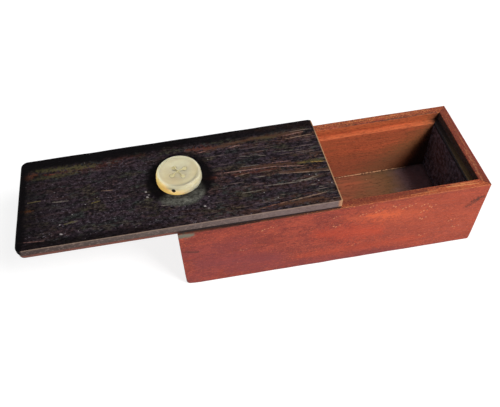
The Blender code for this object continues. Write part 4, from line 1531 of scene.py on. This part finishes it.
def pearl_material(button):
    """Mother-of-pearl in fine layers, with a warmer dish and an amber patch on its side. Painted highlight and
    painted shade lie on the dish and rim, and painted light and a painted glow on the side away from the key.
    """
    material, nodes, shader, place = new_material("pearl_shell")
    offset = nodes.vector("SUBTRACT", place, mm(BUTTON_CENTRE.x, BUTTON_CENTRE.y, BUTTON_HIGH.z))
    parts = nodes.split(offset)
    away = nodes.vector("LENGTH", nodes.combine(parts["X"], parts["Y"], 0.0))
    layers = nodes.cloud(nodes.stretch(place, (0.3, 0.42, 2.0)), 1.0, 4.0, 0.6)
    colour = nodes.mix(nodes.fade(layers, 0.32, 0.68), button.pearl, button.pearl_warm)
    # Painted highlight on the upper right of the dish, where its hollow faces the light.
    painted_highlight = nodes.outside(nodes.vector("DISTANCE", place, (-37.6, 2.6, 28.9)), 0.5, 4.6)
    colour = nodes.tint(colour, painted_highlight, 0.35, paint(208, 206, 178))
    # Painted shade in the crease round the dish's edge.
    dish_edge = nodes.times(nodes.fade(away, 4.0, 4.6), nodes.outside(away, 4.7, 5.1))
    colour = nodes.tint(colour, dish_edge, 0.3, paint(186, 174, 142))
    # Darker, warmer patch at the dish's lower left: partly the shell's warmer tone, partly painted shade on the
    # side of the hollow turned from the light.
    warm = nodes.outside(nodes.vector("DISTANCE", place, (-40.8, -2.2, 28.9)), 0.5, 4.5)
    colour = nodes.tint(colour, warm, 0.4, paint(186, 158, 112))
    # Painted light: the side is lightened all round, and most where it faces away from the key.
    side = nodes.fade(away, 4.8, 5.5)
    colour = nodes.tint(colour, side, 0.6, paint(214, 206, 172))
    shade = nodes.outside(nodes.vector("DOT_PRODUCT", offset, (0.72, -0.69, 0.0)), -5.0, 2.0)
    colour = nodes.tint(colour, nodes.times(shade, side), 0.85, paint(255, 234, 172))
    # Painted shade on the crown of the rim on its lit side, which dims the highlight there.
    lit = nodes.fade(nodes.vector("DOT_PRODUCT", offset, (0.5, -0.87, 0.0)), 1.0, 5.0)
    crown = nodes.times(nodes.fade(away, 4.4, 5.2), nodes.between(nodes.outside(away, 5.5, 5.9), 0.25, 1.0))
    colour = nodes.tint(colour, nodes.times(lit, crown), 0.9, paint(142, 135, 112))
    colour = add_streaks(nodes, colour, place, (
        ((-45.2, -1.6, 26.8), (-41.6, -5.8, 26.7), 2.6, 0.0, 1.0, button.amber),
        ((-42.0, -5.8, 26.7), (-37.6, -6.2, 26.6), 1.7, 0.2, 0.8, button.amber),
    ))
    pit = nodes.outside(nodes.vector("DISTANCE", place, (-40.45, -5.2, 28.05)), 0.48, 0.62)
    colour = nodes.tint(colour, pit, 0.98, paint(22, 9, 3))
    # A painted glow: the shell gives off a little warm light on its shaded side.
    glow = nodes.mix(shell_glow(nodes, offset, parts, away, pit), (0.0, 0.0, 0.0), paint(255, 208, 116))
    nodes.feed(shader.inputs["Emission Color"], glow)
    for label, value in (
            ("Emission Strength", 0.56), ("Subsurface Weight", 1.0), ("Subsurface Radius", (1.0, 0.94, 0.82)),
            ("Subsurface Scale", 6.0 * MM), ("Coat Weight", 0.04), ("Coat Roughness", 0.12)):
        shader.inputs[label].default_value = value
    rough = nodes.most(nodes.between(layers, 0.24, 0.4), pit)
    height = nodes.cloud(nodes.stretch(place, (0.8, 0.8, 3.0)), 1.0, 3.0, 0.6)
    return finished(material, nodes, shader, colour, rough, 0.2, height, 0.03 * MM)


def thread_material(button):
    """Pale, slightly soiled cotton thread."""
    material, nodes, shader, place = new_material("cotton_thread")
    soil = nodes.cloud(place, 1.2, 3.0, 0.6)
    fuzz = nodes.cloud(nodes.stretch(place, (9.0, 9.0, 9.0)), 1.0, 2.0, 0.6)
    colour = nodes.patches(button.thread, ((soil, 0.4, 0.7, 0.6, paint(176, 162, 116)),))
    colour = nodes.tint(colour, fuzz, 0.3, paint(206, 198, 156))
    rough = nodes.between(fuzz, 0.8, 0.95)
    return finished(material, nodes, shader, colour, rough, 0.1, fuzz, 0.04 * MM)


# Stage.

STAGE_HALF = 1.8
STAGE_DROP = 0.01 * MM
STAGE_SHADE = (0.22, 0.22, 0.22)
SENSOR_WIDTH = 36


def seen_directly(nodes):
    """1 for rays of the camera, of reflections and through glass, else 0."""
    path = nodes.add("ShaderNodeLightPath").outputs
    return nodes.most(nodes.most(path["Is Camera Ray"], path["Is Glossy Ray"]), path["Is Transmission Ray"])


def add_floor(stage):
    """A plain pale floor. The camera sees it near white, with the box's soft shadow on it."""
    shape = bmesh.new()
    bmesh.ops.create_grid(shape, x_segments=8, y_segments=8, size=STAGE_HALF)
    floor = add_piece("stage_floor", as_mesh("stage_floor", shape))
    floor.location.z = -STAGE_DROP
    material = bpy.data.materials.new("pale_floor")
    material.use_nodes = True
    nodes = Nodes(material.node_tree)
    seen = seen_directly(nodes)
    pale = nodes.add("ShaderNodeBsdfDiffuse", {"Color": nodes.mix(seen, stage.floor, STAGE_SHADE)})
    away = nodes.vector("LENGTH", nodes.add("ShaderNodeTexCoord").outputs["Object"])
    white = nodes.between(nodes.fade(away, 0.3, 1.0), 0.85, 1.0)
    glow = nodes.add("ShaderNodeEmission", {"Color": (1, 1, 1, 1), "Strength": nodes.times(seen, white)})
    both = nodes.add("ShaderNodeAddShader")
    nodes.feed(both.inputs[0], pale.outputs[0])
    nodes.feed(both.inputs[1], glow.outputs[0])
    output = nodes.add("ShaderNodeOutputMaterial")
    nodes.feed(output.inputs["Surface"], both.outputs[0])
    floor.data.materials.append(material)


def add_world(stage):
    """White all round for the camera and for reflections, and a low even light for the rest."""
    world = bpy.data.worlds.new("studio")
    bpy.context.scene.world = world
    world.use_nodes = True
    nodes = Nodes(world.node_tree)
    strength = nodes.between(seen_directly(nodes), stage.ambient, 1.0)
    back = nodes.add("ShaderNodeBackground", {"Color": (1, 1, 1, 1), "Strength": strength})
    output = nodes.add("ShaderNodeOutputWorld")
    nodes.feed(output.inputs["Surface"], back.outputs[0])


def add_key(stage):
    """One soft square light from the front right."""
    data = bpy.data.lights.new("key_light", "AREA")
    data.shape = "SQUARE"
    data.size = stage.key_size
    data.energy = stage.key_power
    way = Vector(stage.key_way).normalized()
    key = bpy.data.objects.new("key_light", data)
    key.location = way * stage.key_distance
    key.rotation_euler = way.to_track_quat("Z", "Y").to_euler()
    bpy.context.scene.collection.objects.link(key)


def add_camera(stage):
    """The camera at the settings' place, which looks at the target."""
    data = bpy.data.cameras.new("view")
    data.sensor_width = SENSOR_WIDTH
    data.lens = stage.lens
    data.shift_x, data.shift_y = stage.shift
    data.clip_start = MM
    camera = bpy.data.objects.new("view", data)
    bpy.context.scene.collection.objects.link(camera)
    back = Vector((math.sin(stage.azimuth) * math.cos(stage.elevation),
                   -math.cos(stage.azimuth) * math.cos(stage.elevation), math.sin(stage.elevation)))
    level = (-back).to_track_quat("-Z", "Y").to_matrix().to_4x4()
    place = Matrix.Translation(Vector(stage.target) + back * stage.distance)
    camera.matrix_world = place @ level @ Matrix.Rotation(stage.roll, 4, "Z")
    bpy.context.scene.camera = camera


class STUDBOX_OT_stage(bpy.types.Operator):
    """Set up the pale floor, the soft light and the camera"""
    bl_idname = "studbox.stage"
    bl_label = "Stage"
    bl_options = {"REGISTER", "UNDO"}

    def execute(self, context):
        stage = context.scene.stud_box_stage
        add_floor(stage)
        add_world(stage)
        add_key(stage)
        add_camera(stage)
        context.scene.view_settings.view_transform = "Standard"
        return {"FINISHED"}


# Add-on.

class STUDBOX_PT_panel(bpy.types.Panel):
    """The stud box's sizes, colours and pieces"""
    bl_idname = "STUDBOX_PT_panel"
    bl_label = "Stud Box"
    bl_space_type = "VIEW_3D"
    bl_region_type = "UI"
    bl_category = "Stud Box"

    def draw(self, context):
        scene = context.scene
        for title, settings in (("Carcass", scene.stud_box_carcass), ("Lid", scene.stud_box_lid),
                                ("Button", scene.stud_box_button), ("Stage", scene.stud_box_stage)):
            box = self.layout.box()
            box.label(text=title)
            for key in settings.bl_rna.properties.keys():
                if key not in ("rna_type", "name"):
                    box.prop(settings, key)
        for operator in OPERATORS:
            self.layout.operator(operator.bl_idname)


OPERATORS = (
    STUDBOX_OT_long_walls,
    STUDBOX_OT_end_walls,
    STUDBOX_OT_floor_board,
    STUDBOX_OT_lid_lining,
    STUDBOX_OT_lid_plate,
    STUDBOX_OT_button,
    STUDBOX_OT_stitches,
    STUDBOX_OT_stage,
)
SETTINGS = (
    ("stud_box_carcass", StudBoxCarcassSettings),
    ("stud_box_lid", StudBoxLidSettings),
    ("stud_box_button", StudBoxButtonSettings),
    ("stud_box_stage", StudBoxStageSettings),
)


def register():
    """Register the settings, the operators and the panel."""
    for key, settings in SETTINGS:
        bpy.utils.register_class(settings)
        setattr(bpy.types.Scene, key, PointerProperty(type=settings))
    for operator in OPERATORS:
        bpy.utils.register_class(operator)
    bpy.utils.register_class(STUDBOX_PT_panel)


def unregister():
    """Take away what register adds."""
    bpy.utils.unregister_class(STUDBOX_PT_panel)
    for operator in reversed(OPERATORS):
        bpy.utils.unregister_class(operator)
    for key, settings in reversed(SETTINGS):
        delattr(bpy.types.Scene, key)
        bpy.utils.unregister_class(settings)


def main():
    """Build the whole scene."""
    register()
    build_groups()
    bpy.ops.studbox.long_walls()
    bpy.ops.studbox.end_walls()
    bpy.ops.studbox.floor_board()
    bpy.ops.studbox.lid_lining()
    bpy.ops.studbox.lid_plate()
    bpy.ops.studbox.button()
    bpy.ops.studbox.stitches()
    bpy.ops.studbox.stage()


if __name__ == "__main__":
    main()
